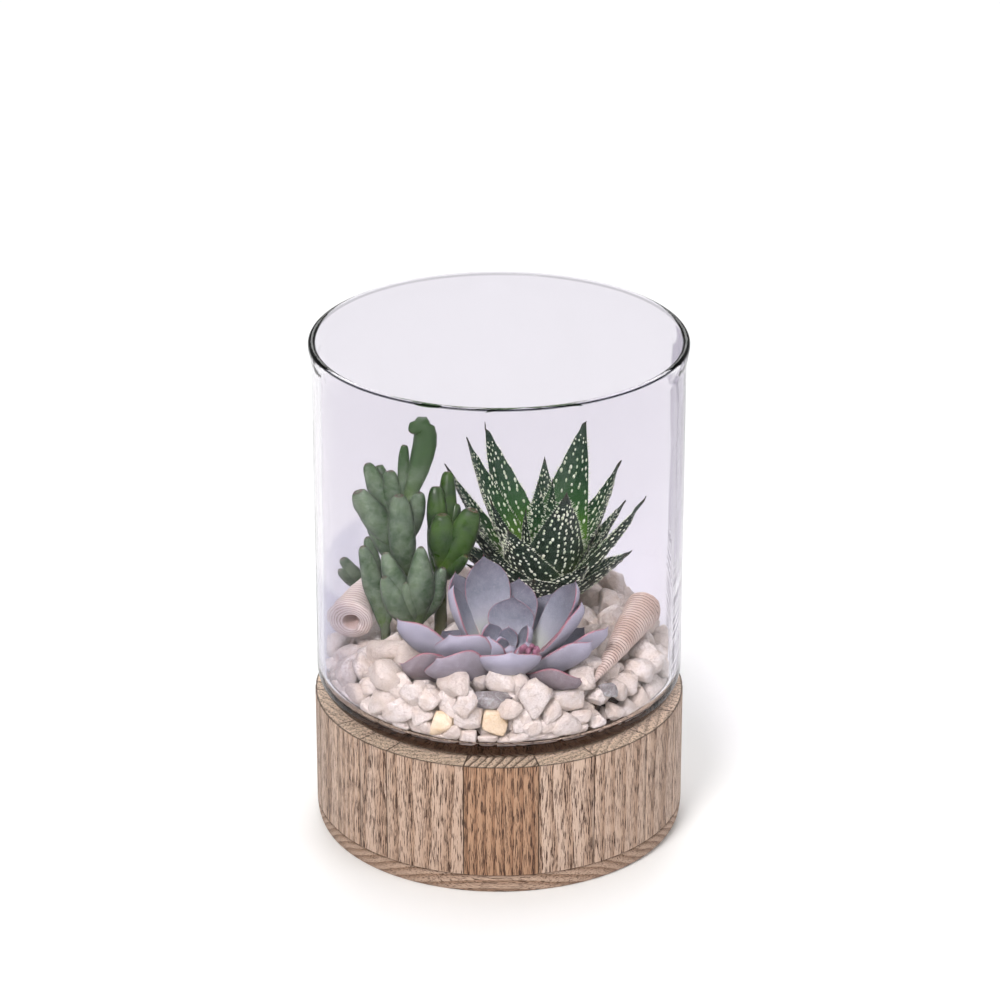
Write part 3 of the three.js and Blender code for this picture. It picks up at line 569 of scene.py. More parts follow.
PALE_WOOD = wood_material(
    "pale_wood", "#cbb2a1", "#9e7a5f", "#422616", 0.555, 0.55, 0.36)
DARK_WOOD = wood_material(
    "dark_wood", "#bc9678", "#80563a", "#462a1a", 0.55, 0.65, 0.9)
BOARD_WOOD = wood_material(
    "board_wood", "#c2a692", "#8c6a52", "#4c301e", 0.57, 0.8, 0.8, True)
CLEAR_GLASS = clear_glass()
MARBLE = stone_material("white_marble", "#e2dbd4", "#d0c2b4", "#a49284", 0.6, 0.9)
YELLOW = stone_material("yellow_marble", "#e6d6bc", "#d4bc98", "#ba9e78", 0.6, 0.5)
SLATE = stone_material("slate", "#a09896", "#686060", "#bac4c0", 0.5, 0.5, 0.6)
POTTING_SOIL = soil_material()
CREAM_SHELL = shell_material("cream_shell", "#d0c4be", "#c0b0a6", "#7a6254", 0.75)
PINK_SHELL = shell_material("pink_shell", "#cab8ac", "#b69e90", "#4c322a", 1.0)
ECHEVERIA_LEAF = echeveria_material()
ALOE_LEAF = aloe_material()
ALOE_SPOT = spot_material()
JADE_LEAF = jade_material(
    "jade_leaf", "#54664a", "#2c4624", "#628028", "#543c3a", 0.22, 0.4)
BRIGHT_JADE_LEAF = jade_material(
    "bright_jade_leaf", "#304e0a", "#163204", "#5a7a14", "#54382c", 0.06, 0.32)


# ---- Wooden base ----

BOARD_TOP = 8.3
BOARD_FOOT_RADIUS = 73.7
STAVE_THICKNESS = 18.0
FRONT_JOINTS = [-91, -85.7, -60, -47.9, -36.6, -10.8, 12.1, 30.3, 51.7, 70, 90]
BACK_STAVES = 8
DARK_STAVE = 5
JOINT_GAP = 0.12
EASE = 0.35
# Rows up a stave above the board, and how far its outer face and corners stand in at each.
ROWS = np.array([0, 0.12, 0.4, 12, 24, 36, 48.3, 48.58, 48.7, 48.7])
ROW_INSETS = np.array([EASE, 0.1, 0, 0, 0, 0, 0, 0.1, EASE, 0.9])
# Angle in degrees between each stave's rings and its face: small is plain sawn, large is quarter sawn.
RING_ANGLES = [30, 20, 75, 15, 25, 62, 20, 32, 18, 68, 25, 12, 55, 20, 30, 66, 18, 28]


def grained(shape, ring_direction, tone):
    """Marks the way a board's rings lie, its own tone, and the sawn ends on the ring's top."""
    count = len(shape["points"])
    shape["values"]["ring_direction"] = np.tile(ring_direction, (count, 1))
    shape["values"]["stave_tone"] = np.full(count, tone)
    shape["values"]["cut_end"] = (shape["points"][:, 2] > WOOD_TOP - 0.02).astype(float)
    return shape


def stave(start, end, number):
    """One stave: the outline of an arc-sided block, eased at its corners, carried up in rows."""
    half_gap, inset = math.degrees(JOINT_GAP / WOOD_RADIUS), math.degrees(EASE / WOOD_RADIUS)
    angles = np.linspace(start + half_gap, end - half_gap, max(4, int((end - start) / 1.5)))
    outer, inner = WOOD_RADIUS, WOOD_RADIUS - STAVE_THICKNESS
    outline = np.concatenate([
        [[angles[0], outer - EASE], [angles[0] + 0.3 * inset, outer - 0.3 * EASE]],
        np.stack([angles[1:-1], np.full(len(angles) - 2, outer)], -1),
        [[angles[-1] - 0.3 * inset, outer - 0.3 * EASE], [angles[-1], outer - EASE]],
        np.stack([angles[::-1], np.full(len(angles), inner)], -1),
    ])
    radii = np.where(outline[:, 1] > inner, outline[:, 1] - ROW_INSETS[:, None], outline[:, 1])
    middle_angle = (start + end) / 2
    turns = np.tile(outline[:, 0], (len(ROWS), 1))
    turns[-1] = middle_angle + (turns[-1] - middle_angle) * (1 - 2 * inset / (end - start))
    rings = circle(turns, radii[..., None], (BOARD_TOP + ROWS)[:, None, None])
    middle = circle(middle_angle, WOOD_RADIUS - STAVE_THICKNESS / 2, 0)
    # The joints between staves are dark; along the top and bottom edges the dark is painted shade, fainter
    # along the board.
    corners = (outline[:, 1] == outer - EASE) & (ROW_INSETS[:, None] < 0.3)
    edge = np.where((ROW_INSETS == EASE)[:, None] | corners, 1.0, 0.0)
    edge[ROW_INSETS == 0.1] = 0.5
    edge[:2] *= 0.5
    shape = skin(rings, middle + BOARD_TOP * UP, middle + WOOD_TOP * UP, edge=edge)
    shape["values"]["edge"][[0, -1]] = 0
    rough = np.random.default_rng(300 + number)
    turn = math.radians(RING_ANGLES[number])
    across_rings = math.sin(turn) * direction(middle_angle + 90) + math.cos(turn) * direction(middle_angle)
    return grained(shape, across_rings * (3.0 / rough.uniform(2.4, 3.8)), rough.uniform(0, 1))


def base_board():
    """The round bottom board: flat underside, a quarter-round edge, and a flat top under the staves."""
    quarter = np.linspace(0, np.pi / 2, 10)[:-1]
    inset = WOOD_RADIUS - BOARD_FOOT_RADIUS
    profile = np.concatenate([
        [(10, 0), (40, 0), (72, 0)],
        np.stack([BOARD_FOOT_RADIUS + inset * np.sin(quarter), BOARD_TOP * (1 - np.cos(quarter))], -1),
        [(WOOD_RADIUS, BOARD_TOP - EASE), (WOOD_RADIUS - EASE, BOARD_TOP), (60, BOARD_TOP), (30, BOARD_TOP)],
    ])
    # Painted shade along the board's top edge, in the crease under the staves.
    edge = [0] * (len(profile) - 4) + [0.3, 0.5, 0, 0]
    return grained(turned(profile, 240, edge=edge), [0.55, 0.9, 0.0], 0.3)


make_piece("base_board_wood", base_board(), BOARD_WOOD, "base_board")
back_step = (360 - (FRONT_JOINTS[-1] - FRONT_JOINTS[0])) / BACK_STAVES
joints = FRONT_JOINTS + [FRONT_JOINTS[-1] + (n + 1) * back_step for n in range(BACK_STAVES)]
for n, (start, end) in enumerate(zip(joints, joints[1:])):
    kind, slot = (DARK_WOOD, "dark_wood") if n == DARK_STAVE else (PALE_WOOD, "pale_wood")
    make_piece(f"stave_wood_{n + 1:02d}", stave(start, end, n), kind, f"stave_{n + 1:02d}")


# ---- Glass jar ----

GLASS_RADIUS = 75.0
GLASS_WALL = 3.0
GLASS_FLOOR = 5.0
GLASS_CORNER = 12.0
RIM_TOP = 210.8
RIM_FLARE = 1.2
RIM_HEIGHT = 9.0
# Painted dark reflections make two lines that run round the lip: degrees over its round section, and how
# dark.
RIM_PAINTED_LINE_ANGLES = [16, 28, 52, 64, 112, 128, 148, 166]
RIM_PAINTED_LINE_DEPTHS = [0, 1, 1, 0, 0, 0.5, 0.5, 0]
FLOOR_Z = WOOD_TOP + GLASS_FLOOR
INSIDE_RADIUS = GLASS_RADIUS - GLASS_WALL
INSIDE_CORNER = GLASS_CORNER - GLASS_WALL
CORNER_RADIUS = GLASS_RADIUS - GLASS_CORNER
# How much of the glass is plainly see-through, without refraction, where it touches the wood.
CONTACT = 0.96


def arc(centre_r, centre_z, radius, start, end, steps):
    """Points of part of a circle in a profile, between two angles in degrees."""
    angles = np.radians(np.linspace(start, end, steps))
    return np.stack([centre_r + radius * np.cos(angles), centre_z + radius * np.sin(angles)], -1)


def glass_jar():
    """The jar's wall, floor, rounded foot and round lip as one profile, outside first, turned round Z."""
    lip = GLASS_WALL / 2
    lip_r, lip_z = GLASS_RADIUS + RIM_FLARE - lip, RIM_TOP - lip
    corner_z, flare_z = WOOD_TOP + GLASS_CORNER, lip_z - RIM_HEIGHT
    rise = np.linspace(0, 1, 9)[1:-1]
    flare = np.stack([RIM_FLARE * (rise * rise * (3 - 2 * rise)), flare_z + RIM_HEIGHT * rise], -1)
    wall = np.stack([np.zeros(14), np.linspace(corner_z, flare_z, 16)[1:-1]], -1)
    side = np.concatenate([wall, flare])
    profile = np.concatenate([
        [(20, WOOD_TOP), (45, WOOD_TOP)],
        arc(CORNER_RADIUS, corner_z, GLASS_CORNER, -90, 0, 18),
        side + [GLASS_RADIUS, 0],
        arc(lip_r, lip_z, lip, 0, 180, 30),
        side[::-1] + [INSIDE_RADIUS, 0],
        arc(CORNER_RADIUS, FLOOR_Z + INSIDE_CORNER, INSIDE_CORNER, 0, -90, 14),
        [(45, FLOOR_Z), (20, FLOOR_Z)],
    ])
    radius, height = profile.T
    over = np.degrees(np.arctan2(height - lip_z, radius - lip_r))
    # Painted dark reflections in lines round the lip.
    rim = np.interp(over, RIM_PAINTED_LINE_ANGLES, RIM_PAINTED_LINE_DEPTHS) * (height >= lip_z - 0.01)
    middle, rising = radius < CORNER_RADIUS + 6, np.gradient(height) > 0
    contact = np.interp(height, [WOOD_TOP + 0.4, WOOD_TOP + 2.4], [CONTACT, 0.0])
    contact = np.where(middle, np.maximum(contact, CONTACT * (height < FLOOR_Z + 2.5)), contact)
    contact[~middle & ~rising] = 0
    return turned(profile, 256, rim=rim, contact=contact)


make_piece("jar_glass", glass_jar(), CLEAR_GLASS, "glass_jar")


# ---- Echeveria ----

def midrib(plant, heading, tilt, length, curl, foot, t):
    """Curve from the stem to the leaf's point. It leaves lower than its tilt and curls up to it."""
    centre = np.array(plant["root"], float)
    rise = plant["rise"] * tilt / 90 * UP
    root = centre + foot * direction(heading) + rise
    middle = centre + length / 2 * direction(heading, tilt - curl) + rise / 2
    return bezier([root, middle, centre + length * direction(heading, tilt)], t)


def blade_frame(points, tangents, heading, tilt, roll=0.0):
    """Across and above vectors along a midrib. Across is level, then rolled about the leaf's line."""
    level, line = direction(heading + 90), direction(heading, tilt)
    turn = math.radians(roll)
    across = np.broadcast_to(math.cos(turn) * level + math.sin(turn) * np.cross(line, level), points.shape)
    return across, unit(np.cross(tangents, across))


def plant_stem(plant, heights, radii, **values):
    """The short hidden stem in the middle of a rosette, as rings of given heights and radii."""
    centre = np.array([*plant["root"][:2], 0])
    heights, radii = np.array(heights)[:, None, None], np.array(radii)[:, None, None]
    rings = centre + circle(np.linspace(0, 360, 24, endpoint=False), radii, heights)
    return skin(rings, centre + heights[0, 0, 0] * UP, centre + (heights[-1, 0, 0] + 1) * UP, **values)


ECHEVERIA = {"root": [2, -42, 80.5], "rise": 5}
ECHEVERIA_CUP = 0.3
ECHEVERIA_THICKNESS = 3.4
# Leaves from the outside in: heading, tilt, length, width, roll, age.
ECHEVERIA_LEAVES = [
    [-78, 12, 43, 22, 52, 1.0], [56, 13, 37, 19, -42, 1.0], [120, 18, 40, 19, 0, 0.3],
    [-128, 18, 34, 18, 0, 0.3], [165, 20, 42, 19, 0, 0.2], [-168, 26, 42, 19, 0, 0.2],
    [93, 26, 47, 18, -34, 0.1], [-90, 30, 50, 21, 46, 0.0], [76, 28, 41, 18, -44, 0.1],
    [-50, 27, 39, 27, 40, 0.6], [140, 38, 42, 18, 0, 0.0], [-148, 42, 43, 18, 0, 0.0],
    [7, 42, 31, 26, 0, 0.0], [109, 50, 49, 20, 0, 0.0], [-132, 54, 47, 17, 0, 0.0],
    [-57, 43, 36, 26, 34, 0.1], [164, 55, 41, 19, 0, 0.0], [90, 46, 46, 19, -14, 0.0],
    [-159, 61, 50, 19, 0, 0.0], [-105, 60, 44, 17, 10, 0.0], [50, 58, 23, 10, 0, 0.0],
    [164, 64, 33, 19, 0, 0.0], [-32, 62, 26, 13, 0, 0.0], [-138, 66, 23, 11, 0, 0.0],
    [110, 64, 24, 10, 0, 0.0], [161, 73, 21, 8, 0, 0.0], [30, 74, 17, 8, 0, 0.0], [-80, 77, 16, 7, 0, 0.0],
    [-160, 80, 17, 6, 0, 0.0],
]
SPOON_KEYS = [0, 0.2, 0.45, 0.62, 0.74, 0.84, 0.91, 0.95, 0.975, 1]
SPOON_WIDTHS = [0.42, 0.52, 0.78, 0.95, 1.0, 0.9, 0.64, 0.36, 0.15, 0.02]
BUDS = 9


def echeveria_leaf(heading, tilt, length, width, roll, age, number):
    """A cupped spoon with a wavy rim and a small point, thin at the rim and fuller underneath."""
    t = 1 - (1 - np.linspace(0, 1, 34)) ** 1.5
    curl, foot = min(22, 0.75 * tilt), 1 + 0.03 * (90 - tilt)
    points, tangents = midrib(ECHEVERIA, heading, tilt, length, curl, foot, t)
    wobble = np.random.default_rng(500 + number)
    across, above = blade_frame(points, tangents, heading, tilt, roll + wobble.uniform(-4, 4))
    share = eased(t, SPOON_KEYS, SPOON_WIDTHS)[:, None]
    t = t[:, None]
    half = width / 2 * share
    c, s = np.cos(around(28)), np.sin(around(28))
    thick = ECHEVERIA_THICKNESS * (0.45 + 0.55 * share) * np.clip(share * 4, 0, 1)
    keel = np.where(s > 0, 0.25 * thick * s, 0.75 * thick * s)
    ripple = 0.35 * np.sin(9 * t + wobble.uniform(0, 6)) * c * np.abs(c) * share
    point = (0.07 * width) * (t > 0.9) * ((t - 0.9) / 0.1) ** 2
    lift = ECHEVERIA_CUP * half * c * c + ripple + keel + point
    near_tip = np.clip((t - 0.86) / 0.14, 0, 1) ** 2
    return skin(
        rings_about(points, across, half * c, above, lift),
        points[0] - tangents[0], points[-1] + 0.8 * tangents[-1] + above[-1] * lift[-1].mean(),
        along=t, across=np.maximum(np.abs(c), near_tip), face=np.clip(0.5 + 2.2 * s, 0, 1),
        age=age, bud=0.0,
    )


def echeveria_buds():
    """A short nodding flower stalk from the crown, and its cluster of small round buds."""
    marks = {"along": 0.3, "across": 0.0, "face": 0.5, "age": 0.3}
    c, s = np.cos(around(12)), np.sin(around(12))
    points, tangents = bezier([[2, -42, 84], [6, -48, 96], [11, -56, 98.5]], np.linspace(0, 1, 12))
    side, up = square_to(tangents, UP)
    stalk = rings_about(points, side, 0.9 * c, up, 0.9 * s)
    pieces = [skin(stalk, points[0], points[-1] + 0.5 * tangents[-1], bud=0.4, **marks)]
    level = np.linspace(0.06, 0.94, 9)[:, None] * np.pi
    reach = 1.15 * np.sin(level)
    for n in range(BUDS):
        place = np.array([12.0, -57.6, 99.8]) + [3.2 * math.sin(2.4 * n), 1.6 * math.cos(2.4 * n), 0.17 * n]
        lean = direction(360 * n / BUDS, 60)
        flat = unit(np.cross(lean, [0.3, 1.0, 0.2]))
        other = np.cross(lean, flat)
        bud = rings_about(place - 1.5 * np.cos(level) * lean, flat[None], reach * c, other[None], reach * s)
        pieces.append(skin(bud, place - 1.5 * lean, place + 1.6 * lean, bud=1.0, **marks))
    return gathered(pieces)


def echeveria():
    """The rosette: every leaf of the list, the short stem that they spring from, and the flower buds."""
    leaves = [echeveria_leaf(*leaf, number) for number, leaf in enumerate(ECHEVERIA_LEAVES)]
    stem = plant_stem(
        ECHEVERIA, [68, 72, 79.5, 83.5, 87.5, 90.5], [6, 6, 6, 5.6, 4.4, 2],
        along=0.2, across=0.0, face=0.5, age=0.6, bud=0.0,
    )
    return gathered([*leaves, stem, echeveria_buds()])


make_piece("echeveria_rosette", echeveria(), ECHEVERIA_LEAF, "echeveria")


# ---- Lace aloe ----

ALOE = {"root": [19, 20, 86], "rise": 13}
ALOE_CUP = 0.35
ALOE_RIM = 0.5
ALOE_THICKNESS = 3.9
# Leaves from the outside in: heading, tilt, length, width.
ALOE_LEAVES = [
    [178, 30, 42, 19], [132, 34, 46, 19], [-135, 35, 46, 19], [100, 28, 42, 19], [-80, 30, 38, 19],
    [75, 36, 43, 24], [-10, 38, 36, 26], [-50, 44, 44, 24], [35, 42, 40, 24], [160, 46, 52, 18],
    [-82, 38, 52, 24], [-75, 50, 56, 22], [-105, 53, 71, 15], [70, 51, 69, 17], [95, 53, 55, 16],
    [110, 60, 67, 21], [-28, 54, 56, 26], [180, 60, 60, 18], [-115, 62, 76, 20], [20, 67, 64, 29],
    [-60, 63, 57, 18], [-140, 60, 78, 24], [150, 64, 78, 27], [-165, 76, 50, 12], [160, 80, 52, 9],
    [30, 80, 40, 13], [-85, 79, 42, 13], [95, 78, 40, 12],
]
LANCE_KEYS = [0, 0.12, 0.28, 0.45, 0.6, 0.75, 0.88, 0.96, 1]
LANCE_WIDTHS = [0.92, 1.0, 0.96, 0.8, 0.63, 0.42, 0.2, 0.07, 0.012]
# Rows of spots across a face, and how far apart they are along it: underneath, then on top.
SPOT_ROWS = ((True, 6, 3.3), (False, 5, 3.6))
HAIR_PITCH = 1.5
HAIR_LENGTH = 1.5
HAIR_WIDTH = 0.26


def aloe_blade(leaf, t, c, under):
    """Points of a blade at t along it and c across, the ways they face, the blade's line and its half width.

    The half width rises to the lower third and tapers evenly to a fine point. The top is slightly hollow, and
    the underside is a rounded keel. Along t runs from 0 to 1, and across c from -1 to 1.
    """
    heading, tilt, length, width = leaf
    points, tangents = midrib(ALOE, heading, tilt, length, 12, 4 + 0.12 * (90 - tilt), t)
    across, above = blade_frame(points, tangents, heading, tilt)
    share = eased(t, LANCE_KEYS, LANCE_WIDTHS)
    half = width / 2 * share
    thick = ALOE_RIM + ALOE_THICKNESS * share
    lift = ALOE_CUP * half * np.abs(c) ** 1.5
    body = np.where(under, -0.7 * thick * (1 - np.abs(c) ** 2.2), 0.3 * thick * (1 - c * c))
    places = points + across * (half * c)[..., None] + above * (lift + body)[..., None]
    aside = 0.8 * c * np.where(under, 1, -0.3)
    outward = above * np.where(under, -1.0, 1.0)[..., None] + across * aside[..., None]
    return places, unit(outward), tangents, half


def aloe_leaf(leaf):
    """The blade's closed skin: 24 points round it at each of 44 stations."""
    t, angle = np.meshgrid(np.linspace(0, 1, 44), around(24), indexing="ij")
    c, s = np.cos(angle), np.sin(angle)
    rings = aloe_blade(leaf, t.ravel(), c.ravel(), s.ravel() < 0)[0].reshape(*t.shape, 3)
    middles = rings.mean(1)
    tangents = unit(np.gradient(middles, axis=0))
    return skin(
        rings, middles[0] - tangents[0], middles[-1] + 0.4 * tangents[-1],
        along=t, face=np.clip(0.5 + 3 * s, 0, 1), thread=np.clip((t - 0.93) / 0.05, 0, 1),
    )


def studs(rings, tops, bottoms):
    """Small closed bodies: rings of points (bodies, sides, 3), each with a point above and one below."""
    count, sides = rings.shape[:2]
    first = (sides + 2) * np.arange(count)[:, None]
    ring = first + np.arange(sides)
    after = first + (np.arange(sides) + 1) % sides
    upper = np.stack([ring, after, first + sides + 0 * ring], -1)
    lower = np.stack([after, ring, first + sides + 1 + 0 * ring], -1)
    points = np.concatenate([rings, tops[:, None], bottoms[:, None]], 1)
    return surface(points, [], np.concatenate([upper.reshape(-1, 3), lower.reshape(-1, 3)]))


def spots(places, outward, along, size):
    """Six-sided oval domes, half sunk. One of size 1 reaches 1 mm along, 0.6 mm across and 0.3 mm out."""
    size = size[:, None]
    side = unit(np.cross(outward, along))
    rings = rings_about(places, along, size * np.cos(around(6)), side, 0.6 * size * np.sin(around(6)))
    return studs(rings, places + 0.3 * size * outward, places - 0.3 * size * outward)


def hairs(feet, outward, along, size):
    """Thin four-sided hairs that lean out from a margin and a little towards the leaf's point."""
    lean = unit(outward + 0.55 * along)
    other = unit(np.cross(lean, along))
    width = HAIR_WIDTH * np.clip(size, 0.5, 1)[:, None]
    corners = np.stack([feet + way * width for way in (along, other, -along, -other)], 1)
    return studs(corners, feet + lean * HAIR_LENGTH * size[:, None], feet - outward * width)


def aloe_marks(leaf, number):
    """Spots in staggered rows on both faces, denser underneath, and hairs along both margins."""
    scatter = np.random.default_rng(900 + number)
    marks = []
    for under, rows, pitch in SPOT_ROWS:
        steps = int(leaf[2] / pitch)
        stations = (np.arange(steps) + 0.5) / steps * 0.84 + 0.05
        t, c = np.meshgrid(stations, np.linspace(-0.8, 0.8, rows), indexing="ij")
        t = t + 0.42 / steps * (np.arange(rows) % 2) + scatter.uniform(-0.25, 0.25, t.shape) / steps
        c = c + scatter.uniform(-0.07, 0.07, c.shape)
        t, c = t.ravel(), c.ravel()
        keep = scatter.random(len(t)) < 0.9 - 0.15 * (not under)
        places, outward, tangents, half = aloe_blade(leaf, t, c, np.full(len(t), under))
        keep &= (half > 1.1) & (np.abs(c) * half < half - 0.35)
        size = scatter.uniform(0.75, 1.25, len(t)) * np.clip(half / 5, 0.55, 1)
        marks.append(spots(places[keep], outward[keep], tangents[keep], size[keep]))
    steps = int(leaf[2] / HAIR_PITCH)
    for edge in (-1.0, 1.0):
        t = (np.arange(steps) + scatter.uniform(0.2, 0.8, steps)) / steps * 0.92 + 0.03
        feet, _, tangents, half = aloe_blade(leaf, t, np.full(steps, edge), np.full(steps, False))
        outward = edge * np.broadcast_to(direction(leaf[0] + 90), feet.shape)
        size = scatter.uniform(0.7, 1.15, steps) * np.clip(half / 3, 0.35, 1)
        marks.append(hairs(feet, outward, tangents, size))
    return gathered(marks)


aloe_stem = plant_stem(
    ALOE, [68, 74, 90, 97, 102, 106], [8, 8, 8, 7, 4, 1.2], along=0.3, face=0.0, thread=0.3)
aloe_shape = gathered([*(aloe_leaf(leaf) for leaf in ALOE_LEAVES), aloe_stem])
make_piece("lace_aloe_leaves", aloe_shape, ALOE_LEAF, "lace_aloe")
spot_shape = gathered([aloe_marks(leaf, number) for number, leaf in enumerate(ALOE_LEAVES)])
make_piece("lace_aloe_spots_and_hairs", spot_shape, ALOE_SPOT, "lace_aloe")


# ---- Finger jade ----

# Each stem is a path with a radius. Each leaf has the points that its curve bends by, and its width.
JADE_STEMS = {
    "tall": {"radius": 3.0, "taper": 0.1,
     "path": [[-38, 2, 68], [-38.5, 2, 100], [-39, 4, 122], [-38, 5, 137]],
     "leaves": [
        ([-38, 4.5, 133], [-35.5, 5, 147], [-27, 6, 160], [-27.5, 6, 179], [-35.6, 3.4, 168.5], 9.2),
        ([-38, 5, 134], [-39, 7, 147], [-38.5, 8, 161], 5),
        ([-39, 4.5, 122], [-48, 7, 137], [-54, 10, 152], 8),
        ([-39, 5, 124], [-45, 11, 137], [-49.5, 14, 149.5], 7),
        ([-39, 4.5, 120], [-43.6, 6, 135], [-44.3, 7, 150], 8.5),
        ([-39, 3.5, 116], [-50, 1, 130], [-57.5, 0, 144], 11),
        ([-38.5, 2.5, 104], [-39.5, -4, 124], [-40.5, -4, 144], 10.5),
        ([-39, 4, 118], [-34, 4, 130], [-33, 4, 142], 8.5),
        ([-38.5, 3, 108], [-47, 4, 119], [-52, 3, 131], 9),
        ([-38.5, 3, 106], [-41, 12, 119], [-44, 16, 132], 9),
    ]},
    "bright": {"radius": 2.8, "taper": 0.15,
     "path": [[-24, -3, 68], [-24, -3, 90], [-24, -3, 106], [-23, -3, 120]],
     "leaves": [
        ([-23.5, -3, 112], [-23, -5, 124], [-23.1, -5, 136], 11),
        ([-23.5, -3, 110], [-16, -4, 122], [-10.5, -5, 138], 12),
        ([-24, -3, 106], [-18, -6, 111], [-13.4, -8, 119], 5.5),
        ([-23.5, -3, 116], [-25.5, 1, 130], [-25.5, 5, 144], 8.5),
        ([-23.5, -3, 115], [-21, 6, 132], [-21, 11, 148], 8),
        ([-23.5, -3, 112], [-19.5, 2, 124], [-17.5, 6, 136], 6.5),
        ([-24, -3, 104], [-25.5, 4, 116], [-27, 8, 128], 7),
    ]},
    "front": {"radius": 3.0, "taper": 0.45,
     "path": [[-34, -11, 68], [-33.5, -11, 78], [-33.5, -11, 88], [-33, -10.5, 97]],
     "leaves": [
        ([-33.5, -11, 92], [-42, -13, 107], [-46, -13, 122.5], 9.5),
        ([-33.5, -11, 90], [-31.5, -16, 108], [-31.5, -15, 126], 10.5),
        ([-33.5, -11, 88], [-42, -15, 100], [-46.5, -17, 113.5], 9.5),
        ([-33.5, -11, 90], [-36, -15, 100], [-38, -17, 111], 7),
        ([-33, -11, 91], [-27, -11, 102], [-22.5, -11, 115], 9),
    ]},
    "left": {"radius": 2.6, "taper": 0.2,
     "path": [[-46.5, -6, 68], [-46.5, -6, 76], [-46.5, -6, 84], [-47, -6, 92]],
     "leaves": [
        ([-47, -6, 86], [-50, -6.5, 104], [-55.5, -6.5, 122.5], 8.5),
        ([-46.5, -5, 87], [-50, 2, 104], [-54, 6, 121], 7.5),
        ([-46.5, -6, 86], [-45, -5.5, 96], [-43, -5, 105], 6),
    ]},
    "sprig": {"radius": 1.9, "taper": 0.1,
     "path": [[-51, 26, 68], [-51, 26, 76], [-51.5, 25.8, 85], [-56, 22, 92]],
     "leaves": [
        ([-55.5, 22, 91], [-61, 18, 99], [-65, 14.5, 107.5], 5.6),
        ([-55.5, 22, 90], [-62, 19, 95], [-66.5, 14, 102.5], 4.8),
    ]},
}
# Outside of a finger leaf, then the dimple in its end: place along the leaf, radius share, mouth depth.
FINGER_PROFILE = [
    (0, 0.5, 0), (0.06, 0.54, 0), (0.14, 0.63, 0), (0.24, 0.78, 0), (0.34, 0.9, 0), (0.44, 0.98, 0),
    (0.54, 1.0, 0), (0.64, 0.98, 0), (0.73, 0.94, 0), (0.81, 0.89, 0), (0.87, 0.83, 0), (0.915, 0.77, 0),
    (0.95, 0.69, 0), (0.973, 0.6, 0), (0.989, 0.47, 0.12), (1.0, 0.31, 0.4), (0.998, 0.2, 0.75),
    (0.99, 0.1, 1.0),
]
FINGER_FLATNESS = 0.84


def finger_leaf(controls, width, taper, number):
    """A round leaf along a Bezier curve: slim foot, full upper part, and a dimple in its end."""
    t, share, mouth = np.array(FINGER_PROFILE).T[..., None]
    share = share * (1 + 0.4 * taper * np.sin(np.pi * t)) * (1 - taper * t ** 3)
    points, tangents = bezier(controls, t[:, 0])
    side, up = square_to(tangents, [0.0, 1.0, 0.0])
    shape = np.random.default_rng(1300 + number)
    angle = around(20)
    lumps = 1 + 0.035 * np.sin(2 * angle + shape.uniform(0, TAU) + 3 * t)
    lumps = lumps + 0.02 * np.sin(3 * angle - 5 * t + shape.uniform(0, TAU))
    radius = width / 2 * share * lumps
    lip = 0.5 * np.sin(angle + shape.uniform(0, TAU)) * (mouth > 0.2) * (share * width / 10)
    rings = rings_about(points, side, radius * np.cos(angle), up, FINGER_FLATNESS * radius * np.sin(angle))
    rings = rings + tangents[:, None] * lip[..., None]
    last = points[-1] - 0.2 * tangents[-1]
    return skin(rings, points[0] - tangents[0], last, along=t, mouth=mouth, bark=0.0)


def jade_stem(number, plant):
    """A lumpy trunk with leaf scars along its path, and its leaves."""
    t = np.linspace(0, 1, 26)
    points, tangents = bezier(plant["path"], t)
    side, up = square_to(tangents, [0.0, 1.0, 0.0])
    t = t[:, None]
    angle = around(18)
    scars = 1 + 0.05 * np.sin(40 * t) + 0.04 * np.sin(2 * angle + 9 * t)
    radius = plant["radius"] * (1 - 0.25 * t) * scars
    rings = rings_about(points, side, radius * np.cos(angle), up, radius * np.sin(angle))
    bark = np.clip(1.1 - 1.2 * t, 0.25, 1)
    trunk = skin(rings, points[0], points[-1] + 1.2 * UP, along=0.3, mouth=0.0, bark=bark)
    leaves = enumerate(plant["leaves"])
    return gathered([
        trunk, *(finger_leaf(leaf[:-1], leaf[-1], plant["taper"], 20 * number + n) for n, leaf in leaves)])


for number, (name, plant) in enumerate(JADE_STEMS.items()):
    kind, slot = (BRIGHT_JADE_LEAF, "bright_jade_leaf") if name == "bright" else (JADE_LEAF, "jade_leaf")
    make_piece(f"finger_jade_{name}_plant", jade_stem(number, plant), kind, f"finger_jade_{name}")


# ---- Sea shells ----

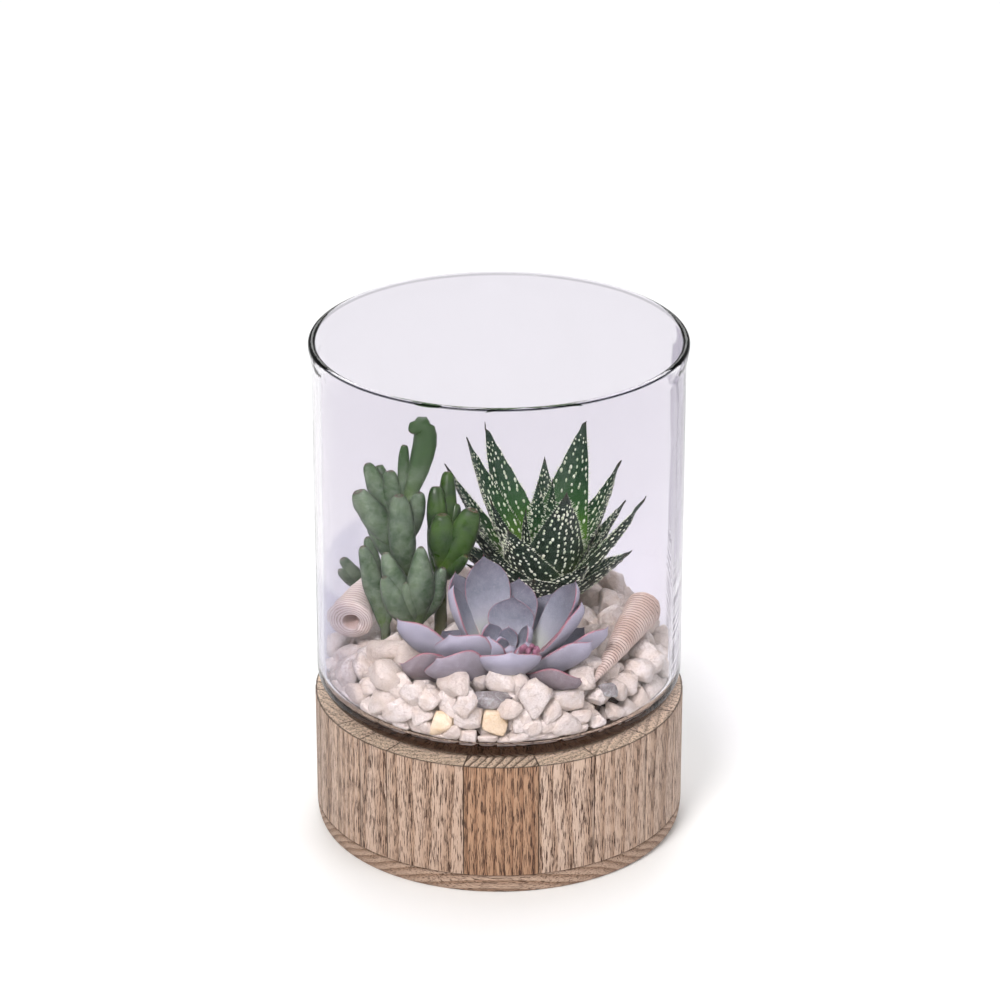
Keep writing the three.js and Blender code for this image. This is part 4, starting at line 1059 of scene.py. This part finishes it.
def ribbed_shell(base, apex, radius, bore, shoulder, pitches, depth, mouth_shift, lip_turn):
    """A cone wound with fine ribs, with a rounded base and a hollow mouth in it.

    The profile comes out of the mouth as a quarter ellipse, goes round the base and the shoulder as another,
    and runs up to the apex as a slightly bulging cone. A groove winds round it: depth * cos(phase) ^ 3 where
    positive, laid in along the profile's normal. The phase grows by one turn per pitch along the profile, and
    falls by one turn round it. The mouth is drawn off the axis, and its lip steps once, at lip_turn degrees,
    like the start of a coil.
    """
    base, apex = np.array(base, float), np.array(apex, float)
    height = np.linalg.norm(apex - base)
    axis = (apex - base) / height
    side = unit(np.cross(UP, axis))
    up = np.cross(axis, side)
    deep = np.linspace(0.04, np.pi / 2, 16)[:-1]
    quarter = np.linspace(0, np.pi / 2, 90)
    rise = np.linspace(0, 0.995, int(7 * height / pitches[1]))[1:]
    along = np.concatenate([
        radius * np.cos(deep), shoulder * (1 - np.cos(quarter)), shoulder + (height - shoulder) * rise,
    ])
    reach = np.concatenate([
        bore * np.sin(deep), bore + (radius - bore) * np.sin(quarter),
        radius * (1 - rise) ** 0.9 * (1 + 0.12 * rise),
    ])
    station = np.arange(len(along))
    outside, cone = station >= len(deep), station >= len(deep) + len(quarter)
    steps = np.stack([np.gradient(along), np.gradient(reach)], -1)
    slope = unit(steps)
    phase = TAU * np.cumsum(np.hypot(*steps.T) / np.where(cone, pitches[1], pitches[0]))
    angle = around(48)
    groove = np.clip(np.cos(phase[:, None] - angle), 0, 1) ** 3
    groove = groove * (outside * np.clip(reach / radius * 3, 0, 1))[:, None]
    inner = 1 - np.clip((reach - bore) / (radius - bore), 0, 1) * outside
    inner = np.where(cone, 0, inner)[:, None]
    coil = 0.3 * radius * inner * ((angle - math.radians(lip_turn)) / TAU % 1)
    forward = along[:, None] + depth * groove * slope[:, 1:] + coil
    out = reach[:, None] - depth * groove * slope[:, :1]
    shift = mouth_shift * radius * inner[..., None] * (0.8 * side + 0.6 * up)
    rings = base + forward[..., None] * axis + shift
    rings = rings + (out * np.cos(angle))[..., None] * side + (out * np.sin(angle))[..., None] * up
    hollow = np.concatenate([np.linspace(1, 0.3, len(deep)), np.zeros(len(along) - len(deep))])[:, None]
    return skin(rings, rings[0].mean(0), apex, groove=groove, inside=hollow)


left_shell = ribbed_shell(
    (-61, -14.5, 91.6), (-55.5, 16, 99.5), 9.4, 3.4, 3.2, (1.15, 2.2), 0.25, -0.06, 215)
make_piece("cream_shell_left", left_shell, CREAM_SHELL, "shell_left")
right_shell = ribbed_shell(
    (60.8, 4, 91.8), (36, -56.5, 83.6), 7.5, 2.6, 4.5, (1.5, 1.6), 0.42, 0.2, 0)
make_piece("pink_shell_right", right_shell, PINK_SHELL, "shell_right")


# ---- Stones ----

SOIL_RADIUS = 60.0
SOIL_TOP = 74.0
SETTLED_CHIPS = 300
CHIP_MIN = 3.1
CHIP_RANGE = 3.5
# No chip comes as high as this, so that leaves above it are passed over.
CHIPS_CEILING = 98
# Settling: how close balls come as a share of their radii, how far off a leaf they stay, and how far they
# sink in a step, first while they fall and then while they come to rest.
SETTLING_STEPS = 110
FALLING_STEPS = 80
CLOSENESS = 0.9
LEAF_GAP = 1.2
FALL = 0.35
LAST_FALL = 0.05
# How crisp the broken edges of a stone are.
CRISP = 44.0
SOFT = 16.0


def ball_directions(level):
    """Unit vectors and triangles of a ball made by splitting the faces of an icosahedron."""
    mesh = bpy.data.meshes.new("ball_pattern")
    pattern = bmesh.new()
    bmesh.ops.create_icosphere(pattern, subdivisions=level, radius=1)
    pattern.to_mesh(mesh)
    pattern.free()
    points = np.zeros(3 * len(mesh.vertices), np.float32)
    mesh.vertices.foreach_get("co", points)
    triangles = np.zeros(3 * len(mesh.polygons), np.int32)
    mesh.polygons.foreach_get("vertices", triangles)
    bpy.data.meshes.remove(mesh)
    return unit(points.reshape(-1, 3).astype(float)), triangles.reshape(-1, 3)


BALLS = {level: ball_directions(level) for level in (3, 4)}


def inside_glass(points, clearance):
    """Draws points in to the jar's inner wall, and up to its floor."""
    z = np.maximum(points[:, 2], FLOOR_Z + clearance)
    below = np.clip(FLOOR_Z + INSIDE_CORNER - z, 0, INSIDE_CORNER - clearance)
    corner = CORNER_RADIUS + np.sqrt(np.maximum(INSIDE_CORNER ** 2 - below ** 2, 0))
    wall = np.where(below > 0, corner, INSIDE_RADIUS) - clearance
    reach = np.hypot(points[:, 0], points[:, 1])
    factor = np.minimum(1, wall / np.maximum(reach, 1e-6))
    return np.stack([points[:, 0] * factor, points[:, 1] * factor, z], -1)


def stone(centre, half_sizes, turn, seed, tone, level=3, sharpness=CRISP):
    """A rounded, broken stone: the soft meeting of random planes, stretched, turned and held in the jar.

    Radius in direction d = (sum over planes of max(0, d.n / h) ^ p) ^ (-1 / p), under a slow wave.
    """
    pick = np.random.default_rng(seed)
    ways, triangles = BALLS[level]
    normals = np.concatenate([unit(pick.normal(size=(9, 3))), np.eye(3), -np.eye(3)])
    reach = np.concatenate([pick.uniform(0.62, 0.92, 9), np.full(6, 1.0)])
    planes = np.maximum(ways @ normals.T / reach, 0)
    radius = (planes ** sharpness).sum(1) ** (-1 / sharpness)
    phases = pick.uniform(0, TAU, 3)
    radius = radius * (1 + 0.012 * np.sin(5 * ways + phases).sum(1))
    rotation = np.array(Euler(np.radians(turn)).to_matrix())
    points = ways * radius[:, None] * np.asarray(half_sizes, float)
    points = points @ rotation.T + np.asarray(centre, float)
    points = inside_glass(points, pick.uniform(0.25, 1.1))
    return surface(points, [], triangles, stone_tone=np.full(len(points), float(tone)))


# Centre, half sizes, turn in degrees, seed and tone.
LOOSE_STONES = {
    "dark_stone_long": ([-4, -63.5, 81.6], [11.6, 3.9, 3.5], [4, -4, 6], 11, 0.4),
    "dark_stone_small": ([43, -53, 81], [3.6, 3, 2.8], [0, 10, 30], 12, 0.6),
    "yellow_pebble_front": ([-0.8, -66, 72.6], [5.7, 4.5, 5.5], [0, 8, 0], 13, 0.4),
    "yellow_pebble_left": ([-22.5, -63, 72], [5.1, 4.5, 5.9], [0, -6, -18], 14, 0.1),
}
for name, facts in LOOSE_STONES.items():
    kind, slot, sharpness = (SLATE, "slate", CRISP) if "dark" in name else (YELLOW, "yellow_marble", SOFT)
    make_piece(f"{name}_rock", stone(*facts, 4, sharpness), kind, name)

# Larger chips, given one by one: angle round the jar, radius, height, half sizes across, along and up.
PICKED_CHIPS = [
    [-37, 63, 80, 7.4, 5, 6.6], [-18, 64, 80, 5.4, 5, 5.6], [-27, 61, 80.5, 3.6, 4, 3],
    [-10, 66, 74, 6, 4.4, 6], [8, 66, 75, 4.2, 4.4, 5.4], [16, 61, 80, 4.6, 4.6, 4.4],
    [3, 54, 79.5, 5.5, 4.5, 3.6], [26, 63.5, 78, 8, 5, 5], [38, 64, 77, 5, 4.6, 4.6],
    [16, 66, 70.5, 5.6, 4.4, 5.4], [28, 66, 71, 5.2, 4.4, 3.6], [-30, 65, 67, 4.8, 4.4, 4.4],
    [117, 52, 84, 5, 5, 6.5], [-20, 66, 64.2, 4.6, 4, 2.4], [-11, 66, 65.2, 4.2, 4.2, 4.2],
    [-4, 66, 64.6, 4.2, 3.6, 3.2], [8, 66, 66.6, 6, 4.4, 3.8], [18, 66, 65.4, 4.6, 4, 3.2],
    [27, 66, 65.6, 4.4, 4, 3], [35.5, 66, 66.4, 4.6, 4.2, 3.8], [44, 66, 67.5, 4.4, 4.2, 4.4],
    [2.5, 66, 65, 3.6, 3.8, 3], [5, 61.5, 71.5, 4.2, 4, 5],
]


def piece_points(name, step):
    """Every step-th point of a piece, in millimetres."""
    mesh = bpy.data.objects[name].data
    points = np.zeros(3 * len(mesh.vertices), np.float32)
    mesh.vertices.foreach_get("co", points)
    return points.reshape(-1, 3)[::step].astype(float) / MM


def packed_stones(leaf_points, posts, shells):
    """Settles loose stones as balls, and gives their centres and radii.

    They push apart, fall, and stay off the wall, soil, stems, shells and leaves. The picked chips, the loose
    stones and the shells are held where they are.
    """
    pick = np.random.default_rng(4127)
    count = SETTLED_CHIPS
    held = [(circle(a, r, z), 0.9 * (p + q + u) / 3) for a, r, z, p, q, u in PICKED_CHIPS]
    held += [(np.array(centre, float), 0.95 * np.mean(half)) for centre, half, *_ in LOOSE_STONES.values()]
    held += shells
    fixed = len(held)
    angle, share = pick.uniform(0, 360, count), np.sqrt(pick.uniform(0, 1, count))
    low = pick.random(count) < 0.34
    radius = np.where(low, pick.uniform(62, 68, count), 66 * share)
    level = np.where(low, pick.uniform(64, 74, count), pick.uniform(78, 90, count))
    centres = np.concatenate([[c for c, _ in held], circle(angle, radius[:, None], level[:, None])])
    sizes = np.concatenate([[r for _, r in held], CHIP_MIN + CHIP_RANGE * pick.beta(1.5, 1.9, count)])
    home = centres[:fixed].copy()
    for step in range(SETTLING_STEPS):
        apart = centres[:, None] - centres[None]
        distance = np.linalg.norm(apart, axis=-1) + np.eye(len(centres)) * 99
        overlap = np.maximum(CLOSENESS * (sizes[:, None] + sizes[None]) - distance, 0)
        centres = centres + 0.45 * (apart / distance[..., None] * overlap[..., None]).sum(1)
        gap = centres[fixed:, None] - leaf_points[None]
        distance = np.linalg.norm(gap, axis=-1)
        overlap = np.maximum(CLOSENESS * sizes[fixed:, None] + LEAF_GAP - distance, 0)
        push = gap / distance[..., None] * overlap[..., None]
        push[..., 2] = -np.abs(push[..., 2])
        centres[fixed:] += 0.25 * push.sum(1) / np.maximum((overlap > 0).sum(1), 1)[:, None] * 2
        centres[fixed:, 2] -= FALL if step < FALLING_STEPS else LAST_FALL
        for x, y, radius in posts:
            offset = centres[:, :2] - [x, y]
            distance = np.linalg.norm(offset, axis=1)
            short = np.maximum(radius + 0.8 * sizes - distance, 0)
            centres[:, :2] += offset / distance[:, None] * short[:, None]
        reach = np.hypot(centres[:, 0], centres[:, 1])
        inside = reach < SOIL_RADIUS
        floor = np.where(inside, SOIL_TOP + 0.55 * sizes, FLOOR_Z + 0.8 * sizes)
        floor = np.where(inside & (centres[:, 2] < 68), centres[:, 2], floor)
        centres[:, 2] = np.maximum(centres[:, 2], floor)
        stuck = inside & (centres[:, 2] < SOIL_TOP - 1)
        centres[stuck, :2] *= 1.02
        reach = np.hypot(centres[:, 0], centres[:, 1])
        below = np.clip(FLOOR_Z + INSIDE_CORNER - centres[:, 2], 0, 8)
        wall = INSIDE_RADIUS - 0.86 * sizes - 0.06 * below ** 2
        centres[:, :2] *= np.minimum(1, wall / np.maximum(reach, 1e-6))[:, None]
        centres[:fixed] = home
    return centres[fixed:], sizes[fixed:]


def chip_bed():
    """The picked chips, and after them the settled ones."""
    leaf_points = np.concatenate([
        piece_points("echeveria_rosette", 9), piece_points("lace_aloe_leaves", 13),
        piece_points("finger_jade_front_plant", 9), piece_points("finger_jade_left_plant", 9),
    ])
    leaf_points = leaf_points[leaf_points[:, 2] < CHIPS_CEILING]
    posts = [(*ECHEVERIA["root"][:2], 6.5), (*ALOE["root"][:2], 8.5)]
    posts += [(*plant["path"][0][:2], plant["radius"] + 0.5) for plant in JADE_STEMS.values()]
    shells = [(p, 8.2) for p in np.linspace([-60, -12, 92.2], [-57, 12, 97.6], 5)]
    shells += zip(np.linspace([60.5, 3, 91.4], [37, -54, 83.8], 12), np.linspace(8.2, 1.2, 12))
    centres, sizes = packed_stones(leaf_points, posts, shells)
    pick = np.random.default_rng(77)
    stones = [
        stone(circle(a, r, z), (p, q, u), (0, 0, a), 100 + n, pick.uniform(0, 0.5), 4)
        for n, (a, r, z, p, q, u) in enumerate(PICKED_CHIPS)
    ]
    for n, (centre, size) in enumerate(zip(centres, sizes)):
        stretch = np.array([1.3, 1.1, 0.98]) * pick.uniform(0.9, 1.1, 3)
        turn = pick.uniform(-180, 180, 3) * [0.25, 0.25, 1]
        stones.append(stone(centre, size * stretch, turn, 5000 + n, pick.uniform(0, 1) ** 2))
    return stones


all_chips = chip_bed()
middle = len(all_chips) // 2
for name, part in (("marble_chips_a", all_chips[:middle]), ("marble_chips_b", all_chips[middle:])):
    make_piece(name, gathered(part), MARBLE, "pebble_bed")


def potting_soil():
    """The hidden block of soil: straight sides, and a crumbly top of summed waves."""
    foot = FLOOR_Z + 0.1
    sides = [(20, foot), (SOIL_RADIUS - 1, foot), (SOIL_RADIUS - 0.5, SOIL_TOP - 1)]
    top = [(radius, SOIL_TOP) for radius in np.linspace(SOIL_RADIUS - 0.5, 3, 16)]
    shape = turned(sides + top, 96)
    x, y, z = shape["points"].T
    crumbs = 0.35 * (np.sin(0.9 * x + 1.3 * y) + np.sin(1.7 * x - 0.8 * y) - 1.4)
    shape["points"][:, 2] = np.where(z > SOIL_TOP - 0.5, z + crumbs, z)
    return shape


make_piece("potting_soil_block", potting_soil(), POTTING_SOIL, "soil")


# ---- Stage ----

WHITE = (1.0, 1.0, 1.0)
# Name, place, target, size in metres, power in watts and colour.
LAMPS = [
    ("key", (-0.5, -1.1, 1.3), (0, 0, 0.1), 0.6, 21.0, (1.0, 0.99, 0.97)),
    ("fill", (1.1, -0.8, 0.8), (0, 0, 0.1), 0.9, 5.0, (0.97, 0.98, 1.0)),
    ("front", (0.1, -1.7, 0.45), (0, 0, 0.08), 0.8, 3.5, WHITE),
    ("top", (0.1, 0.5, 1.5), (0, 0, 0.1), 1.0, 7.0, WHITE),
    ("back", (0, 2.6, 1.6), (0, 2.0, 0), 2.0, 40.0, WHITE),
    ("hollow", (0, 0, 0.05), (0, 0, 0), 0.05, 0.05, (1.0, 0.96, 0.92)),
]
CAMERA_RISE = math.radians(23.61)
CAMERA_DISTANCE = 1.6
CAMERA_LENS = 141.92


def pale_floor():
    """A wide flat floor with a faint mottle, level with the base's underside."""
    material, tree = new_material("floor_paint")
    body = blend(noise(millimetres(tree), 0.004), (0.93, 0.93, 0.935), (0.95, 0.95, 0.95))
    dressed(material, Base_Color=body, Roughness=0.9, Specular_IOR_Level=0.1)
    mesh = bpy.data.meshes.new("floor")
    mesh.from_pydata([(-8, -8, 0), (8, -8, 0), (8, 8, 0), (-8, 8, 0)], [], [(0, 1, 2, 3)])
    mesh.materials.append(material)
    floor = bpy.data.objects.new("floor", mesh)
    bpy.context.scene.collection.objects.link(floor)


def soft_light(name, place, target, size, power, colour):
    light = bpy.data.lights.new(name, "AREA")
    light.shape, light.size, light.energy, light.color = "DISK", size, power, colour
    lamp = bpy.data.objects.new(name, light)
    lamp.location = place
    lamp.rotation_mode = "QUATERNION"
    lamp.rotation_quaternion = (Vector(target) - Vector(place)).to_track_quat("-Z", "Y")
    bpy.context.scene.collection.objects.link(lamp)


def studio():
    """Even pale surroundings, darker overhead for everything but the camera, and large soft lights."""
    world = bpy.data.worlds.new("studio")
    bpy.context.scene.world = world
    world.use_nodes = True
    tree = world.node_tree
    height = components(add(tree, "ShaderNodeTexCoord").outputs["Generated"])["Z"]
    glow = ramp(height, (0.0, (0.4,) * 3), (0.35, (0.34,) * 3), (0.8, (0.2,) * 3))
    seen = add(tree, "ShaderNodeLightPath").outputs["Is Camera Ray"]
    wire(tree.nodes["Background"].inputs["Color"], blend(seen, glow, WHITE))
    for lamp in LAMPS:
        soft_light(*lamp)


def photo_camera():
    """The camera of the photograph: 23.6 degrees above the level, 1.6 m from the middle of the object."""
    data = bpy.data.cameras.new("camera")
    data.sensor_width, data.lens = 36.0, CAMERA_LENS
    data.clip_start, data.clip_end = 0.01, 50
    camera = bpy.data.objects.new("camera", data)
    back, rise = CAMERA_DISTANCE * math.cos(CAMERA_RISE), CAMERA_DISTANCE * math.sin(CAMERA_RISE)
    camera.location = (0.00038, -back, 0.1399 + rise)
    camera.rotation_euler = (math.pi / 2 - CAMERA_RISE, 0, 0)
    bpy.context.scene.collection.objects.link(camera)
    bpy.context.scene.camera = camera


pale_floor()
studio()
photo_camera()
bpy.context.scene.view_settings.view_transform = "Standard"
